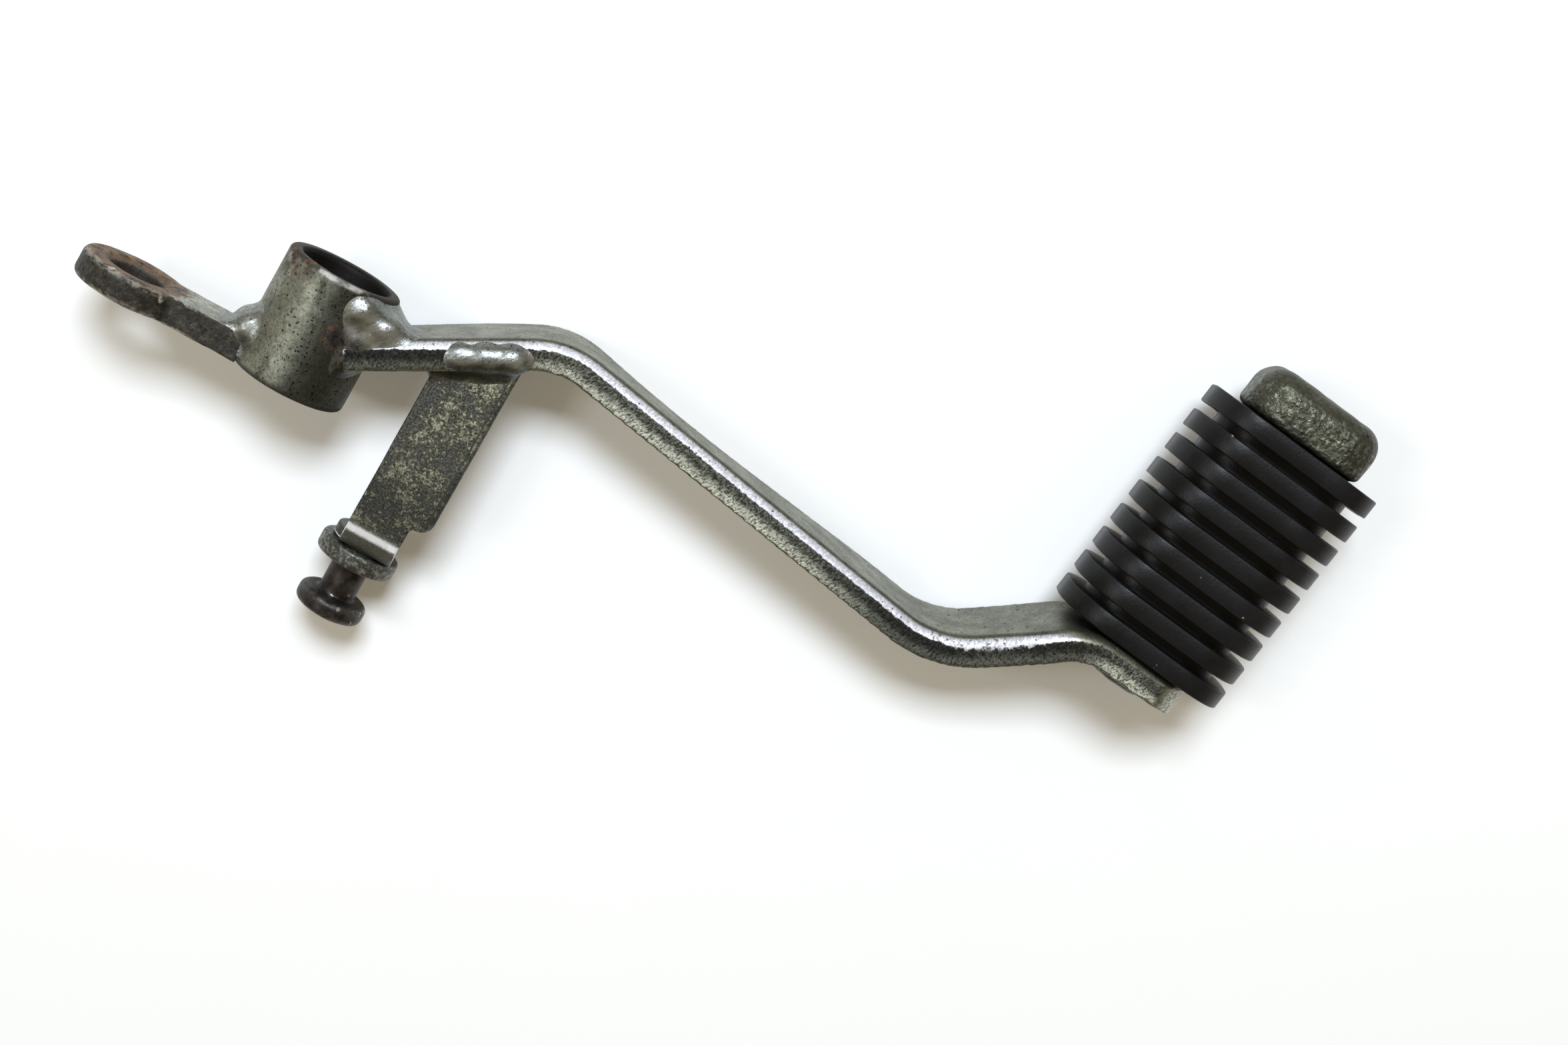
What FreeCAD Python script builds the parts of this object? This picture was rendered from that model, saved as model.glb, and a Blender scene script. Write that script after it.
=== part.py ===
import FreeCAD, Part
import os
import Sketcher
from FreeCAD import Rotation, Vector

# Brake pedal of a motorbike: a plated steel weldment with a ribbed rubber on a forged peg.
# Millimetres. The origin is the middle of the pivot bore, +Y runs along the bore to the pad
# side, +X runs forward along the lever and +Z is up, on the side of the lever's top edge.

SIZES = {
    # pivot tube
    "bore_diameter": 20.0,
    "tube_wall": 3.0,
    "tube_length": 28.0,
    "tube_rim_round": 0.9,
    # rod arm, flush with the inboard end of the tube
    "arm_thickness": 6.5,
    "arm_height": 15.0,
    "eye_reach": 38.0,
    "eye_lift": 2.0,
    "eye_diameter": 24.0,
    "eye_hole": 12.0,
    "eye_mouth": 1.6,
    "eye_edge_round": 1.4,
    # pedal lever, seen from above: middle line of the plate, aimed from root_y and cut square at root_x
    "plate_thickness": 7.0,
    "root_y": -5.1,
    "root_x": 8.3,
    "bend_one_x": 48.7,
    "bend_one_y": 22.6,
    "bend_two_x": 151.8,
    "bend_two_y": 5.3,
    "bend_three_x": 179.1,
    "bend_three_y": 25.7,
    "bend_one_radius": 16.0,
    "bend_two_radius": 20.0,
    "bend_three_radius": 12.0,
    # pedal lever, seen from the side: top edge, bottom edge and pad flange
    "root_drop": 1.5,
    "waist_x": 64.0,
    "waist_top": 7.0,
    "waist_bottom": -9.5,
    "belly_x": 34.0,
    "belly_bottom": -18.5,
    "heel_x": 146.0,
    "heel_bottom": -19.5,
    "flange_top": 12.5,
    "flange_bottom": -15.0,
    "flange_front_x": 204.8,
    "flange_corner": 9.0,
    "rolled_edge": 3.0,
    # spring bracket, a strip with a bent round lip
    "strip_thickness": 3.0,
    "strip_left_x": 26.0,
    "strip_width": 16.8,
    "strip_top": 5.0,
    "strip_edge_break": 0.9,
    "neck_width": 12.6,
    "shoulder_y": -28.0,
    "shoulder_round": 3.2,
    "lip_y": -39.5,
    "lip_radius": 7.2,
    "lip_bend_radius": 4.3,
    # spring post, a spool headed rivet through the lip, with a collar in front of it
    "post_x": 31.0,
    "post_z": -7.0,
    "neck_diameter": 8.6,
    "neck_length": 8.4,
    "collar_diameter": 18.4,
    "collar_thickness": 4.2,
    "collar_round": 0.8,
    "head_diameter": 16.0,
    "head_thickness": 4.6,
    "head_round": 1.6,
    "tail_diameter": 7.0,
    "upset_diameter": 9.0,
    "upset_thickness": 1.8,
    # foot pad: place and lean of the peg, forged peg and its cap
    "pad_x": 191.6,
    "pad_z": -0.5,
    "pad_yaw": 5.5,
    "pad_tilt": 6.0,
    "core_width": 27.0,
    "core_height": 14.0,
    "core_corner": 4.0,
    "spigot_diameter": 12.0,
    "cap_width": 31.2,
    "cap_height": 23.0,
    "cap_thickness": 12.0,
    "cap_corner": 8.0,
    "cap_round": 5.6,
    "cap_back_round": 1.8,
    # pad rubber, a sleeve with ribs around it
    "rubber_width": 44.0,
    "rubber_height": 29.0,
    "rubber_corner": 12.5,
    "rib_count": 9.0,
    "rib_thickness": 4.4,
    "rib_pitch": 6.65,
    "rib_depth": 4.6,
    "rib_edge": 0.7,
    # welds and the clearances of the fits
    "weld_gap": 0.2,
    "weld_round": 2.2,
    "lever_weld_length": 11.4,
    "lever_weld_width": 14.2,
    "lever_weld_corner": 4.5,
    "lever_weld_inset": 0.9,
    "lever_weld_lean": 2.2,
    "lever_weld_drop": 1.0,
    "lever_weld_rise": 0.1,
    "arm_weld_length": 8.5,
    "arm_weld_width": 9.0,
    "arm_weld_corner": 3.6,
    "arm_weld_outset": 0.2,
    "arm_weld_lean": 0.5,
    "arm_weld_rise": 1.6,
    "bracket_weld_length": 18.6,
    "bracket_weld_width": 8.6,
    "bracket_weld_corner": 3.0,
    "bracket_weld_lap": 1.9,
    "bracket_weld_height": 5.8,
    "plug_weld_radius": 1.6,
    "rivet_clearance": 0.1,
    "rubber_clearance": 0.15,
}

ALONG_X = Vector(1, 0, 0)
ALONG_Y = Vector(0, 1, 0)
ALONG_Z = Vector(0, 0, 1)
# Two places closer than this are the same place.
NEAR = 0.01

doc = FreeCAD.newDocument("brake_pedal")
sheet = doc.addObject("Spreadsheet::Sheet", "size")
for row, (alias, number) in enumerate(SIZES.items(), 1):
    sheet.set("A%d" % row, alias)
    sheet.set("B%d" % row, str(number))
    sheet.setAlias("B%d" % row, alias)
doc.recompute()


def value(formula):
    return float(sheet.evalExpression(formula))


def bind(target, formulas):
    for name, formula in formulas.items():
        target.setExpression(name, formula)
    return target


def add(kind, name, formulas):
    return bind(doc.addObject(kind, name), formulas)


def new_body(name):
    return doc.addObject("PartDesign::Body", name)


def new_sketch(body, plane, offset="0"):
    """A sketch on one of the body's own planes, moved along the plane's normal."""
    sketch = body.newObject("Sketcher::SketchObject", body.Name + "_sketch")
    support = [feature for feature in body.Origin.OriginFeatures if feature.Role == plane][0]
    sketch.AttachmentSupport = [(support, "")]
    sketch.MapMode = "FlatFace"
    sketch.setExpression(".AttachmentOffset.Base.z", offset)
    return sketch


def fix(sketch, kind, places, formula):
    """A dimension of the sketch that follows a formula of the sheet."""
    index = sketch.addConstraint(Sketcher.Constraint(kind, *places, value(formula)))
    sketch.setExpression("Constraints[%d]" % index, formula)


def draw_loop(sketch, corners):
    """A closed outline of straight sides through corners that follow the sheet."""
    points = [Vector(value(x), value(y), 0) for x, y in corners]
    count = len(points)
    for index, point in enumerate(points):
        sketch.addGeometry(Part.LineSegment(point, points[(index + 1) % count]), False)
    for index in range(count):
        sketch.addConstraint(Sketcher.Constraint("Coincident", index, 2, (index + 1) % count, 1))
    for index, (x, y) in enumerate(corners):
        fix(sketch, "DistanceX", (-1, 1, index, 1), x)
        fix(sketch, "DistanceY", (-1, 1, index, 1), y)


def draw_chain(sketch, corners):
    """Straight sides from corner to corner, left open."""
    points = [Vector(value(x), value(y), 0) for x, y in corners]
    for start, end, first, last in zip(points, points[1:], corners, corners[1:]):
        index = sketch.addGeometry(Part.LineSegment(start, end), False)
        fix_ends(sketch, index, first, last)


def draw_sweep(sketch, corners, start_heading, end_heading):
    """One smooth curve through all corners, left open, with a heading at each end."""
    curve = Part.BSplineCurve()
    curve.interpolate(Points=[Vector(value(x), value(y), 0) for x, y in corners],
                      InitialTangent=start_heading, FinalTangent=end_heading)
    index = sketch.addGeometry(curve, False)
    fix_ends(sketch, index, corners[0], corners[-1])


def fix_ends(sketch, index, first, last):
    for end, (x, y) in ((1, first), (2, last)):
        fix(sketch, "DistanceX", (-1, 1, index, end), x)
        fix(sketch, "DistanceY", (-1, 1, index, end), y)


def draw_circle(sketch, radius, x="0", y="0"):
    centre = Vector(value(x), value(y), 0)
    index = sketch.addGeometry(Part.Circle(centre, Vector(0, 0, 1), value(radius)), False)
    fix(sketch, "Radius", (index,), radius)
    fix(sketch, "DistanceX", (-1, 1, index, 3), x)
    fix(sketch, "DistanceY", (-1, 1, index, 3), y)


def pad(body, sketch, length, reverse=False, both_sides=False):
    feature = body.newObject("PartDesign::Pad", body.Name + "_pad")
    feature.Profile = sketch
    feature.Reversed = reverse
    feature.SideType = "Symmetric" if both_sides else "One side"
    feature.setExpression("Length", length)
    doc.recompute()
    return feature


def cut_through(body, sketch):
    """A pocket right through the body, on both sides of its sketch."""
    before = body.Shape.Volume
    feature = body.newObject("PartDesign::Pocket", body.Name + "_pocket")
    feature.Profile = sketch
    feature.SideType = "Symmetric"
    feature.Type = "ThroughAll"
    doc.recompute()
    assert body.Shape.Volume < before, body.Name + " pocket cuts nothing"
    return feature


def middle_of(edge):
    return edge.valueAt((edge.FirstParameter + edge.LastParameter) / 2)


def edge_names(shape, wanted):
    return ["Edge%d" % (index + 1) for index, edge in enumerate(shape.Edges) if wanted(edge)]


def dress(body, kind, formula, wanted):
    """A fillet or chamfer on the edges of the body that are wanted."""
    base = body.Tip
    names = edge_names(base.Shape, wanted)
    assert names, body.Name + " has no edge to dress"
    feature = body.newObject("PartDesign::" + kind, body.Name + "_" + kind.lower())
    feature.Base = (base, names)
    feature.setExpression("Radius" if kind == "Fillet" else "Size", formula)
    doc.recompute()
    return feature


def runs_along(edge, axis):
    direction = edge.Vertexes[-1].Point - edge.Vertexes[0].Point
    return direction.Length > 0 and abs(direction.normalize().dot(axis)) > 0.999


def through_point(axis, x=None, y=None, z=None):
    """Picks the straight edges along an axis that pass through a place."""
    def wanted(edge):
        start = edge.Vertexes[0].Point
        gaps = [abs(a - b) for a, b in ((start.x, x), (start.y, y), (start.z, z)) if b is not None]
        return runs_along(edge, axis) and max(gaps) < NEAR
    return wanted


def lies_across(axis, place):
    """Picks the edges that lie wholly in one plane across an axis."""
    def wanted(edge):
        points = [middle_of(edge)] + [vertex.Point for vertex in edge.Vertexes]
        return all(abs(point.dot(axis) - place) < NEAR for point in points)
    return wanted


def boolean(kind, name, base, tool):
    result = doc.addObject("Part::" + kind, name)
    result.Base = base
    result.Tool = tool
    doc.recompute()
    return result


# Pivot tube: a thick walled bush with broken rims.
TUBE_RADIUS = "(size.bore_diameter / 2 + size.tube_wall)"
pivot_tube = new_body("pivot_tube")
tube_rings = new_sketch(pivot_tube, "XZ_Plane")
draw_circle(tube_rings, TUBE_RADIUS)
draw_circle(tube_rings, "size.bore_diameter / 2")
pad(pivot_tube, tube_rings, "size.tube_length", both_sides=True)
dress(pivot_tube, "Fillet", "size.tube_rim_round", lambda edge: isinstance(edge.Curve, Part.Circle))

# The room that the tube takes up, which the welded pieces stop at.
tube_room = add("Part::Cylinder", "tube_room", {
    "Radius": TUBE_RADIUS, "Height": "2 * size.tube_length"})
tube_room.Placement = FreeCAD.Placement(Vector(0, value("size.tube_length"), 0), Rotation(ALONG_X, 90))
root_room = add("Part::Cylinder", "root_room", {
    "Radius": TUBE_RADIUS + " + size.weld_gap", "Height": "2 * size.tube_length"})
root_room.Placement = tube_room.Placement


# Rod arm: a flat arm with a round eye, coped to the tube.
rod_arm = new_body("rod_arm")
ARM_FACE = "size.tube_length / 2 - size.arm_thickness"
EYE_X = "-size.eye_reach"
eye_disc = new_sketch(rod_arm, "XZ_Plane", ARM_FACE)
draw_circle(eye_disc, "size.eye_diameter / 2", EYE_X, "size.eye_lift")
pad(rod_arm, eye_disc, "size.arm_thickness")
arm_strip = new_sketch(rod_arm, "XZ_Plane", ARM_FACE)
draw_loop(arm_strip, [
    (EYE_X, "size.eye_lift - size.arm_height / 2"),
    ("0", "-size.arm_height / 2"),
    ("0", "size.arm_height / 2"),
    (EYE_X, "size.eye_lift + size.arm_height / 2")])
pad(rod_arm, arm_strip, "size.arm_thickness")
arm_cuts = new_sketch(rod_arm, "XZ_Plane")
draw_circle(arm_cuts, "size.eye_hole / 2", EYE_X, "size.eye_lift")
draw_circle(arm_cuts, TUBE_RADIUS + " + size.weld_gap")
cut_through(rod_arm, arm_cuts)


def on_eye(radius):
    def wanted(edge):
        curve = edge.Curve
        if not isinstance(curve, Part.Circle) or abs(curve.Radius - radius) > NEAR:
            return False
        return abs(curve.Center.x - value(EYE_X)) < NEAR
    return wanted


dress(rod_arm, "Chamfer", "size.eye_mouth", on_eye(value("size.eye_hole / 2")))
dress(rod_arm, "Fillet", "size.eye_edge_round", on_eye(value("size.eye_diameter / 2")))


# Pedal lever, first form: the plate seen from above, a ribbon with three bends.
# Each corner of the middle line is pushed out by half the plate on either side.
ROOT_RISE = "size.root_x / size.bend_one_x * (size.bend_one_y - size.root_y)"
FLANGE_FALL = "(size.flange_front_x - size.bend_three_x) * tan(size.pad_yaw)"
MIDDLE_LINE = [
    ("size.root_x", "(size.root_y + %s)" % ROOT_RISE),
    ("size.bend_one_x", "size.bend_one_y"),
    ("size.bend_two_x", "size.bend_two_y"),
    ("size.bend_three_x", "size.bend_three_y"),
    ("size.flange_front_x", "(size.bend_three_y - %s)" % FLANGE_FALL)]
HEADINGS = ["atan2(%s - %s; %s - %s)" % (end[1], start[1], end[0], start[0])
            for start, end in zip(MIDDLE_LINE, MIDDLE_LINE[1:])]
FIRST_HEADING = HEADINGS[0]


def side_corner(index, side):
    """The corner of the ribbon beside one point of the middle line, on side + or -."""
    x, y = MIDDLE_LINE[index]
    before = HEADINGS[max(index - 1, 0)]
    after = HEADINGS[min(index, len(HEADINGS) - 1)]
    push = "size.plate_thickness / 2 / cos((%s - %s) / 2)" % (after, before)
    turn = "(%s + %s) / 2" % (before, after)
    opposite = "-" if side == "+" else "+"
    return ("%s %s %s * sin(%s)" % (x, opposite, push, turn), "%s %s %s * cos(%s)" % (y, side, push, turn))


lever_ribbon = new_body("lever_ribbon")
ribbon_plan = new_sketch(lever_ribbon, "XY_Plane")
stations = range(len(MIDDLE_LINE))
inboard_side = [side_corner(index, "-") for index in stations]
outboard_side = [side_corner(index, "+") for index in stations]
draw_loop(ribbon_plan, inboard_side + outboard_side[::-1])
pad(lever_ribbon, ribbon_plan, "4 * size.tube_length", both_sides=True)
BEND_RADII = ["size.bend_one_radius", "size.bend_two_radius", "size.bend_three_radius"]
for index, radius in enumerate(BEND_RADII, 1):
    inner, outer = (inboard_side, outboard_side) if index % 2 else (outboard_side, inboard_side)
    for side, formula in ((inner, radius), (outer, radius + " + size.plate_thickness")):
        x, y = side[index]
        dress(lever_ribbon, "Fillet", formula, through_point(ALONG_Z, x=value(x), y=value(y)))

# Pedal lever, second form: the blank seen from the side, deep at the tube, narrow at the
# waist and deep again at the pad flange. It runs on past the flange's front end.
lever_blank = new_body("lever_blank")
blank_outline = new_sketch(lever_blank, "XZ_Plane")
ROOT_HEIGHT = "(%s - size.root_drop)" % TUBE_RADIUS
ROOT_SLOPE = [("0", ROOT_HEIGHT), ("size.waist_x", "size.waist_top")]
PAD_SLOPE = [("size.heel_x", "size.waist_top"), ("size.bend_three_x", "size.flange_top")]
BLANK_END = "size.flange_front_x + size.plate_thickness"
BOTTOM_EDGE = [
    ("size.bend_three_x", "size.flange_bottom"),
    ("size.heel_x", "size.heel_bottom"),
    ("size.waist_x", "size.waist_bottom"),
    ("size.belly_x", "size.belly_bottom"),
    ("0", "-" + ROOT_HEIGHT)]
draw_sweep(blank_outline, ROOT_SLOPE, ALONG_X, ALONG_X)
draw_chain(blank_outline, [ROOT_SLOPE[-1], PAD_SLOPE[0]])
draw_sweep(blank_outline, PAD_SLOPE, ALONG_X, ALONG_X)
draw_chain(blank_outline, [
    PAD_SLOPE[-1], (BLANK_END, "size.flange_top"), (BLANK_END, "size.flange_bottom"), BOTTOM_EDGE[0]])
draw_sweep(blank_outline, BOTTOM_EDGE, -ALONG_X, -ALONG_X)
draw_chain(blank_outline, [BOTTOM_EDGE[-1], ROOT_SLOPE[0]])
pad(lever_blank, blank_outline, "6 * size.tube_length", both_sides=True)
lever_plate = boolean("Common", "lever_plate", lever_ribbon, lever_blank)


def rolled_over(shape):
    """The edges where the top of the plate meets its outboard face."""
    picked = []
    for index, edge in enumerate(shape.Edges):
        point = middle_of(edge)
        normals = [face.normalAt(*face.Surface.parameter(point))
                   for face in shape.ancestorsOfType(edge, Part.Face)]
        upward = any(normal.z > 0.6 for normal in normals)
        outward = any(abs(normal.z) < 0.1 and normal.y > 0.5 for normal in normals)
        if upward and outward and point.z > 0:
            picked.append(index + 1)
    return picked


lever_rolled = doc.addObject("Part::Fillet", "lever_rolled")
lever_rolled.Base = lever_plate
roll = value("size.rolled_edge")
lever_rolled.Edges = [(number, roll, roll) for number in rolled_over(lever_plate.Shape)]
doc.recompute()
lever_root = boolean("Cut", "lever_root", lever_rolled, root_room)


def corner_tool(name, low, centre):
    """A block with a round hollow, which rounds one front corner of the flange."""
    block = add("Part::Box", name + "_block", {
        "Length": "2 * size.flange_corner", "Width": "4 * size.tube_length", "Height": "2 * size.flange_corner"})
    corner_x = value("size.flange_front_x - size.flange_corner")
    block.Placement.Base = Vector(corner_x, 0, value(low))
    hollow = add("Part::Cylinder", name + "_hollow", {
        "Radius": "size.flange_corner", "Height": "8 * size.tube_length"})
    hollow.Placement = FreeCAD.Placement(
        Vector(corner_x, value("4 * size.tube_length"), value(centre)), Rotation(ALONG_X, 90))
    return boolean("Cut", name, block, hollow)


top_tool = corner_tool("top_tool", "size.flange_top - size.flange_corner", "size.flange_top - size.flange_corner")
low_tool = corner_tool(
    "low_tool", "size.flange_bottom - size.flange_corner", "size.flange_bottom + size.flange_corner")
lever_top = boolean("Cut", "lever_top", lever_root, top_tool)
lever_end = boolean("Cut", "lever_end", lever_top, low_tool)

# The pad stands on the outboard face of the flange, turned with it and leaned back.
PAD_Y = ("size.bend_three_y - (size.pad_x - size.bend_three_x) * tan(size.pad_yaw)"
         " + size.plate_thickness / 2 / cos(size.pad_yaw)")
pad_place = FreeCAD.Placement(
    Vector(value("size.pad_x"), value(PAD_Y), value("size.pad_z")),
    Rotation(-value("size.pad_yaw"), -value("size.pad_tilt"), 0))
spigot_hole = add("Part::Cylinder", "spigot_hole", {
    "Radius": "size.spigot_diameter / 2 + size.rivet_clearance", "Height": "4 * size.plate_thickness"})
spigot_hole.Placement = pad_place.multiply(
    FreeCAD.Placement(Vector(0, value("2 * size.plate_thickness"), 0), Rotation(ALONG_X, 90)))
pedal_lever = boolean("Cut", "pedal_lever", lever_end, spigot_hole)


# Spring bracket: a strip that butts the inboard face of the lever, with a bent round lip.
spring_bracket = new_body("spring_bracket")
STRIP_BOTTOM = "size.strip_top - size.strip_thickness"
STRIP_RIGHT = "size.strip_left_x + size.strip_width"
LIP_INNER = "size.lip_y + size.strip_thickness"


def lever_face(x):
    """The Y of the lever's inboard face, less the gap of the weld, on its first run."""
    return ("size.root_y + (%s) * tan(%s) - (size.plate_thickness / 2 + size.weld_gap) / cos(%s)"
            % (x, FIRST_HEADING, FIRST_HEADING))


strip_plan = new_sketch(spring_bracket, "XY_Plane", STRIP_BOTTOM)
draw_loop(strip_plan, [
    ("size.strip_left_x", "size.shoulder_y"),
    (STRIP_RIGHT, "size.shoulder_y"),
    (STRIP_RIGHT, lever_face(STRIP_RIGHT)),
    ("size.strip_left_x", lever_face("size.strip_left_x"))])
pad(spring_bracket, strip_plan, "size.strip_thickness")
bend_section = new_sketch(spring_bracket, "YZ_Plane", "size.strip_left_x")
draw_loop(bend_section, [
    ("0", "size.strip_top"),
    ("size.lip_y", "size.strip_top"),
    ("size.lip_y", "size.post_z"),
    (LIP_INNER, "size.post_z"),
    (LIP_INNER, STRIP_BOTTOM),
    ("0", STRIP_BOTTOM)])
pad(spring_bracket, bend_section, "size.neck_width")
LIP_BEND = [("size.lip_y", "size.strip_top", "size.lip_bend_radius + size.strip_thickness"),
            (LIP_INNER, STRIP_BOTTOM, "size.lip_bend_radius")]
for y, z, formula in LIP_BEND:
    dress(spring_bracket, "Fillet", formula, through_point(ALONG_X, y=value(y), z=value(z)))
dress(spring_bracket, "Fillet", "size.shoulder_round",
      through_point(ALONG_Z, x=value(STRIP_RIGHT), y=value("size.shoulder_y")))
dress(spring_bracket, "Chamfer", "size.strip_edge_break",
      through_point(ALONG_Y, x=value(STRIP_RIGHT), z=value("size.strip_top")))
lip_disc = new_sketch(spring_bracket, "XZ_Plane", "-(%s)" % LIP_INNER)
draw_circle(lip_disc, "size.lip_radius", "size.post_x", "size.post_z")
pad(spring_bracket, lip_disc, "size.strip_thickness")
lip_hole = new_sketch(spring_bracket, "XZ_Plane")
draw_circle(lip_hole, "size.tail_diameter / 2 + size.rivet_clearance", "size.post_x", "size.post_z")
cut_through(spring_bracket, lip_hole)


# Spring post: a turned rivet with a spool head and a collar, upset behind the lip.
spring_post = new_body("spring_post")
COLLAR_FRONT = "size.lip_y - size.collar_thickness"
HEAD_INNER = "size.lip_y - size.collar_thickness - size.neck_length"
HEAD_OUTER = HEAD_INNER + " - size.head_thickness"
UPSET_END = "size.lip_y + size.strip_thickness + size.upset_thickness"
post_profile = new_sketch(spring_post, "XY_Plane")
draw_loop(post_profile, [
    ("0", HEAD_OUTER),
    ("size.head_diameter / 2", HEAD_OUTER),
    ("size.head_diameter / 2", HEAD_INNER),
    ("size.neck_diameter / 2", HEAD_INNER),
    ("size.neck_diameter / 2", COLLAR_FRONT),
    ("size.collar_diameter / 2", COLLAR_FRONT),
    ("size.collar_diameter / 2", "size.lip_y"),
    ("size.tail_diameter / 2", "size.lip_y"),
    ("size.tail_diameter / 2", LIP_INNER),
    ("size.upset_diameter / 2", LIP_INNER),
    ("size.tail_diameter / 2", UPSET_END),
    ("0", UPSET_END)])
post_turning = spring_post.newObject("PartDesign::Revolution", "post_turning")
post_turning.Profile = post_profile
post_turning.ReferenceAxis = (post_profile, ["V_Axis"])
doc.recompute()
for rim, formula in (("size.head_diameter / 2", "size.head_round"), ("size.collar_diameter / 2", "size.collar_round")):
    radius = value(rim)
    dress(spring_post, "Fillet", formula,
          lambda edge: isinstance(edge.Curve, Part.Circle) and abs(edge.Curve.Radius - radius) < NEAR)
spring_post.Placement.Base = Vector(value("size.post_x"), 0, value("size.post_z"))


def draw_rounded_box(sketch, width, height, corner):
    """A rectangle about the sketch's origin with round corners."""
    half_x = value(width) / 2
    half_y = value(height) / 2
    radius = value(corner)
    right = half_x - radius
    top = half_y - radius
    sides = [((-right, -half_y), (right, -half_y)), ((half_x, -top), (half_x, top)),
             ((right, half_y), (-right, half_y)), ((-half_x, top), (-half_x, -top))]
    for start, end in sides:
        sketch.addGeometry(Part.LineSegment(Vector(*start, 0), Vector(*end, 0)), False)
    centres = [(right, -top), (right, top), (-right, top), (-right, -top)]
    quarter = FreeCAD.Units.Quantity("90 deg").getValueAs("rad").Value
    for index, centre in enumerate(centres):
        circle = Part.Circle(Vector(*centre, 0), Vector(0, 0, 1), radius)
        start = (index - 1) * quarter
        sketch.addGeometry(Part.ArcOfCircle(circle, start, start + quarter), False)
    for index in range(4):
        arc = 4 + index
        sketch.addConstraint(Sketcher.Constraint("Tangent", index, 2, arc, 1))
        sketch.addConstraint(Sketcher.Constraint("Tangent", arc, 2, (index + 1) % 4, 1))
        sketch.addConstraint(Sketcher.Constraint("Vertical" if index % 2 else "Horizontal", index))
        fix(sketch, "Radius", (arc,), corner)
    fix(sketch, "DistanceX", (3, 1, 1, 1), width)
    fix(sketch, "DistanceY", (0, 1, 2, 1), height)
    fix(sketch, "DistanceX", (-1, 1, 1, 1), "(%s) / 2" % width)
    fix(sketch, "DistanceY", (-1, 1, 2, 1), "(%s) / 2" % height)


# Pad peg: a forged core with an outer cap, and a spigot through the flange.
pad_peg = new_body("pad_peg")
RUBBER_LENGTH = "((size.rib_count - 1) * size.rib_pitch + size.rib_thickness)"
CORE_LENGTH = "(%s + 2 * size.rubber_clearance)" % RUBBER_LENGTH
core_section = new_sketch(pad_peg, "XZ_Plane")
draw_rounded_box(core_section, "size.core_width", "size.core_height", "size.core_corner")
pad(pad_peg, core_section, CORE_LENGTH, reverse=True)
spigot_section = new_sketch(pad_peg, "XZ_Plane")
draw_circle(spigot_section, "size.spigot_diameter / 2")
pad(pad_peg, spigot_section, "size.plate_thickness")
cap_section = new_sketch(pad_peg, "XZ_Plane", "-" + CORE_LENGTH)
draw_rounded_box(cap_section, "size.cap_width", "size.cap_height", "size.cap_corner")
pad(pad_peg, cap_section, "size.cap_thickness", reverse=True)
cap_end = value(CORE_LENGTH + " + size.cap_thickness")
dress(pad_peg, "Fillet", "size.cap_round", lies_across(ALONG_Y, cap_end))
at_cap_back = lies_across(ALONG_Y, value(CORE_LENGTH))


def on_cap_back(edge):
    """The edges of the cap's back that stand out around the core."""
    middle = middle_of(edge)
    outside = abs(middle.x) > value("size.core_width / 2") + NEAR or abs(middle.z) > value("size.core_height / 2") + NEAR
    return outside and at_cap_back(edge)


dress(pad_peg, "Fillet", "size.cap_back_round", on_cap_back)
pad_peg.Placement = pad_place


# Pad rubber: a moulded sleeve with ribs around it, pushed over the core up to the cap.
pad_rubber = new_body("pad_rubber")
RUBBER_START = "-size.rubber_clearance"
sleeve_section = new_sketch(pad_rubber, "XZ_Plane", RUBBER_START)
draw_rounded_box(sleeve_section, "size.rubber_width - 2 * size.rib_depth",
                 "size.rubber_height - 2 * size.rib_depth", "size.rubber_corner - size.rib_depth")
pad(pad_rubber, sleeve_section, RUBBER_LENGTH, reverse=True)
rib_section = new_sketch(pad_rubber, "XZ_Plane", RUBBER_START)
draw_rounded_box(rib_section, "size.rubber_width", "size.rubber_height", "size.rubber_corner")
first_rib = pad(pad_rubber, rib_section, "size.rib_thickness", reverse=True)
ribs = pad_rubber.newObject("PartDesign::LinearPattern", "ribs")
ribs.Originals = [first_rib]
ribs.Direction = ([axis for axis in pad_rubber.Origin.OriginFeatures if axis.Role == "Y_Axis"][0], [""])
bind(ribs, {"Length": "(size.rib_count - 1) * size.rib_pitch", "Occurrences": "size.rib_count"})
pad_rubber.Tip = ribs
doc.recompute()
rib_reach = value("size.rubber_width / 2 - size.rubber_corner")
rib_top = value("size.rubber_height / 2 - size.rubber_corner")


def on_rib_rim(edge):
    """The rims of the ribs lie in planes across the sleeve, outside its wall."""
    flat = edge.BoundBox.YLength < NEAR
    outside = middle_of(edge)
    across = max(abs(outside.x) - rib_reach, 0.0)
    upward = max(abs(outside.z) - rib_top, 0.0)
    return flat and Vector(across, 0, upward).Length > value("size.rubber_corner") - NEAR


dress(pad_rubber, "Chamfer", "size.rib_edge", on_rib_rim)
core_room = new_sketch(pad_rubber, "XZ_Plane")
draw_rounded_box(core_room, "size.core_width + 2 * size.rubber_clearance",
                 "size.core_height + 2 * size.rubber_clearance", "size.core_corner + size.rubber_clearance")
cut_through(pad_rubber, core_room)
pad_rubber.Placement = pad_place


def weld_pillow(weld, low, height, place, round_low):
    """The full form of a bead: a block with round corners and rims, before it is cut to fit."""
    body = new_body(weld + "_pillow")
    plan = new_sketch(body, "XY_Plane", low)
    draw_rounded_box(plan, "size.%s_length" % weld, "size.%s_width" % weld, "size.%s_corner" % weld)
    pad(body, plan, height)
    rims = [low, "%s + %s" % (low, height)] if round_low else ["%s + %s" % (low, height)]
    for rim in rims:
        dress(body, "Fillet", "size.weld_round", lies_across(ALONG_Z, value(rim)))
    body.Placement = place
    return body


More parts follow.
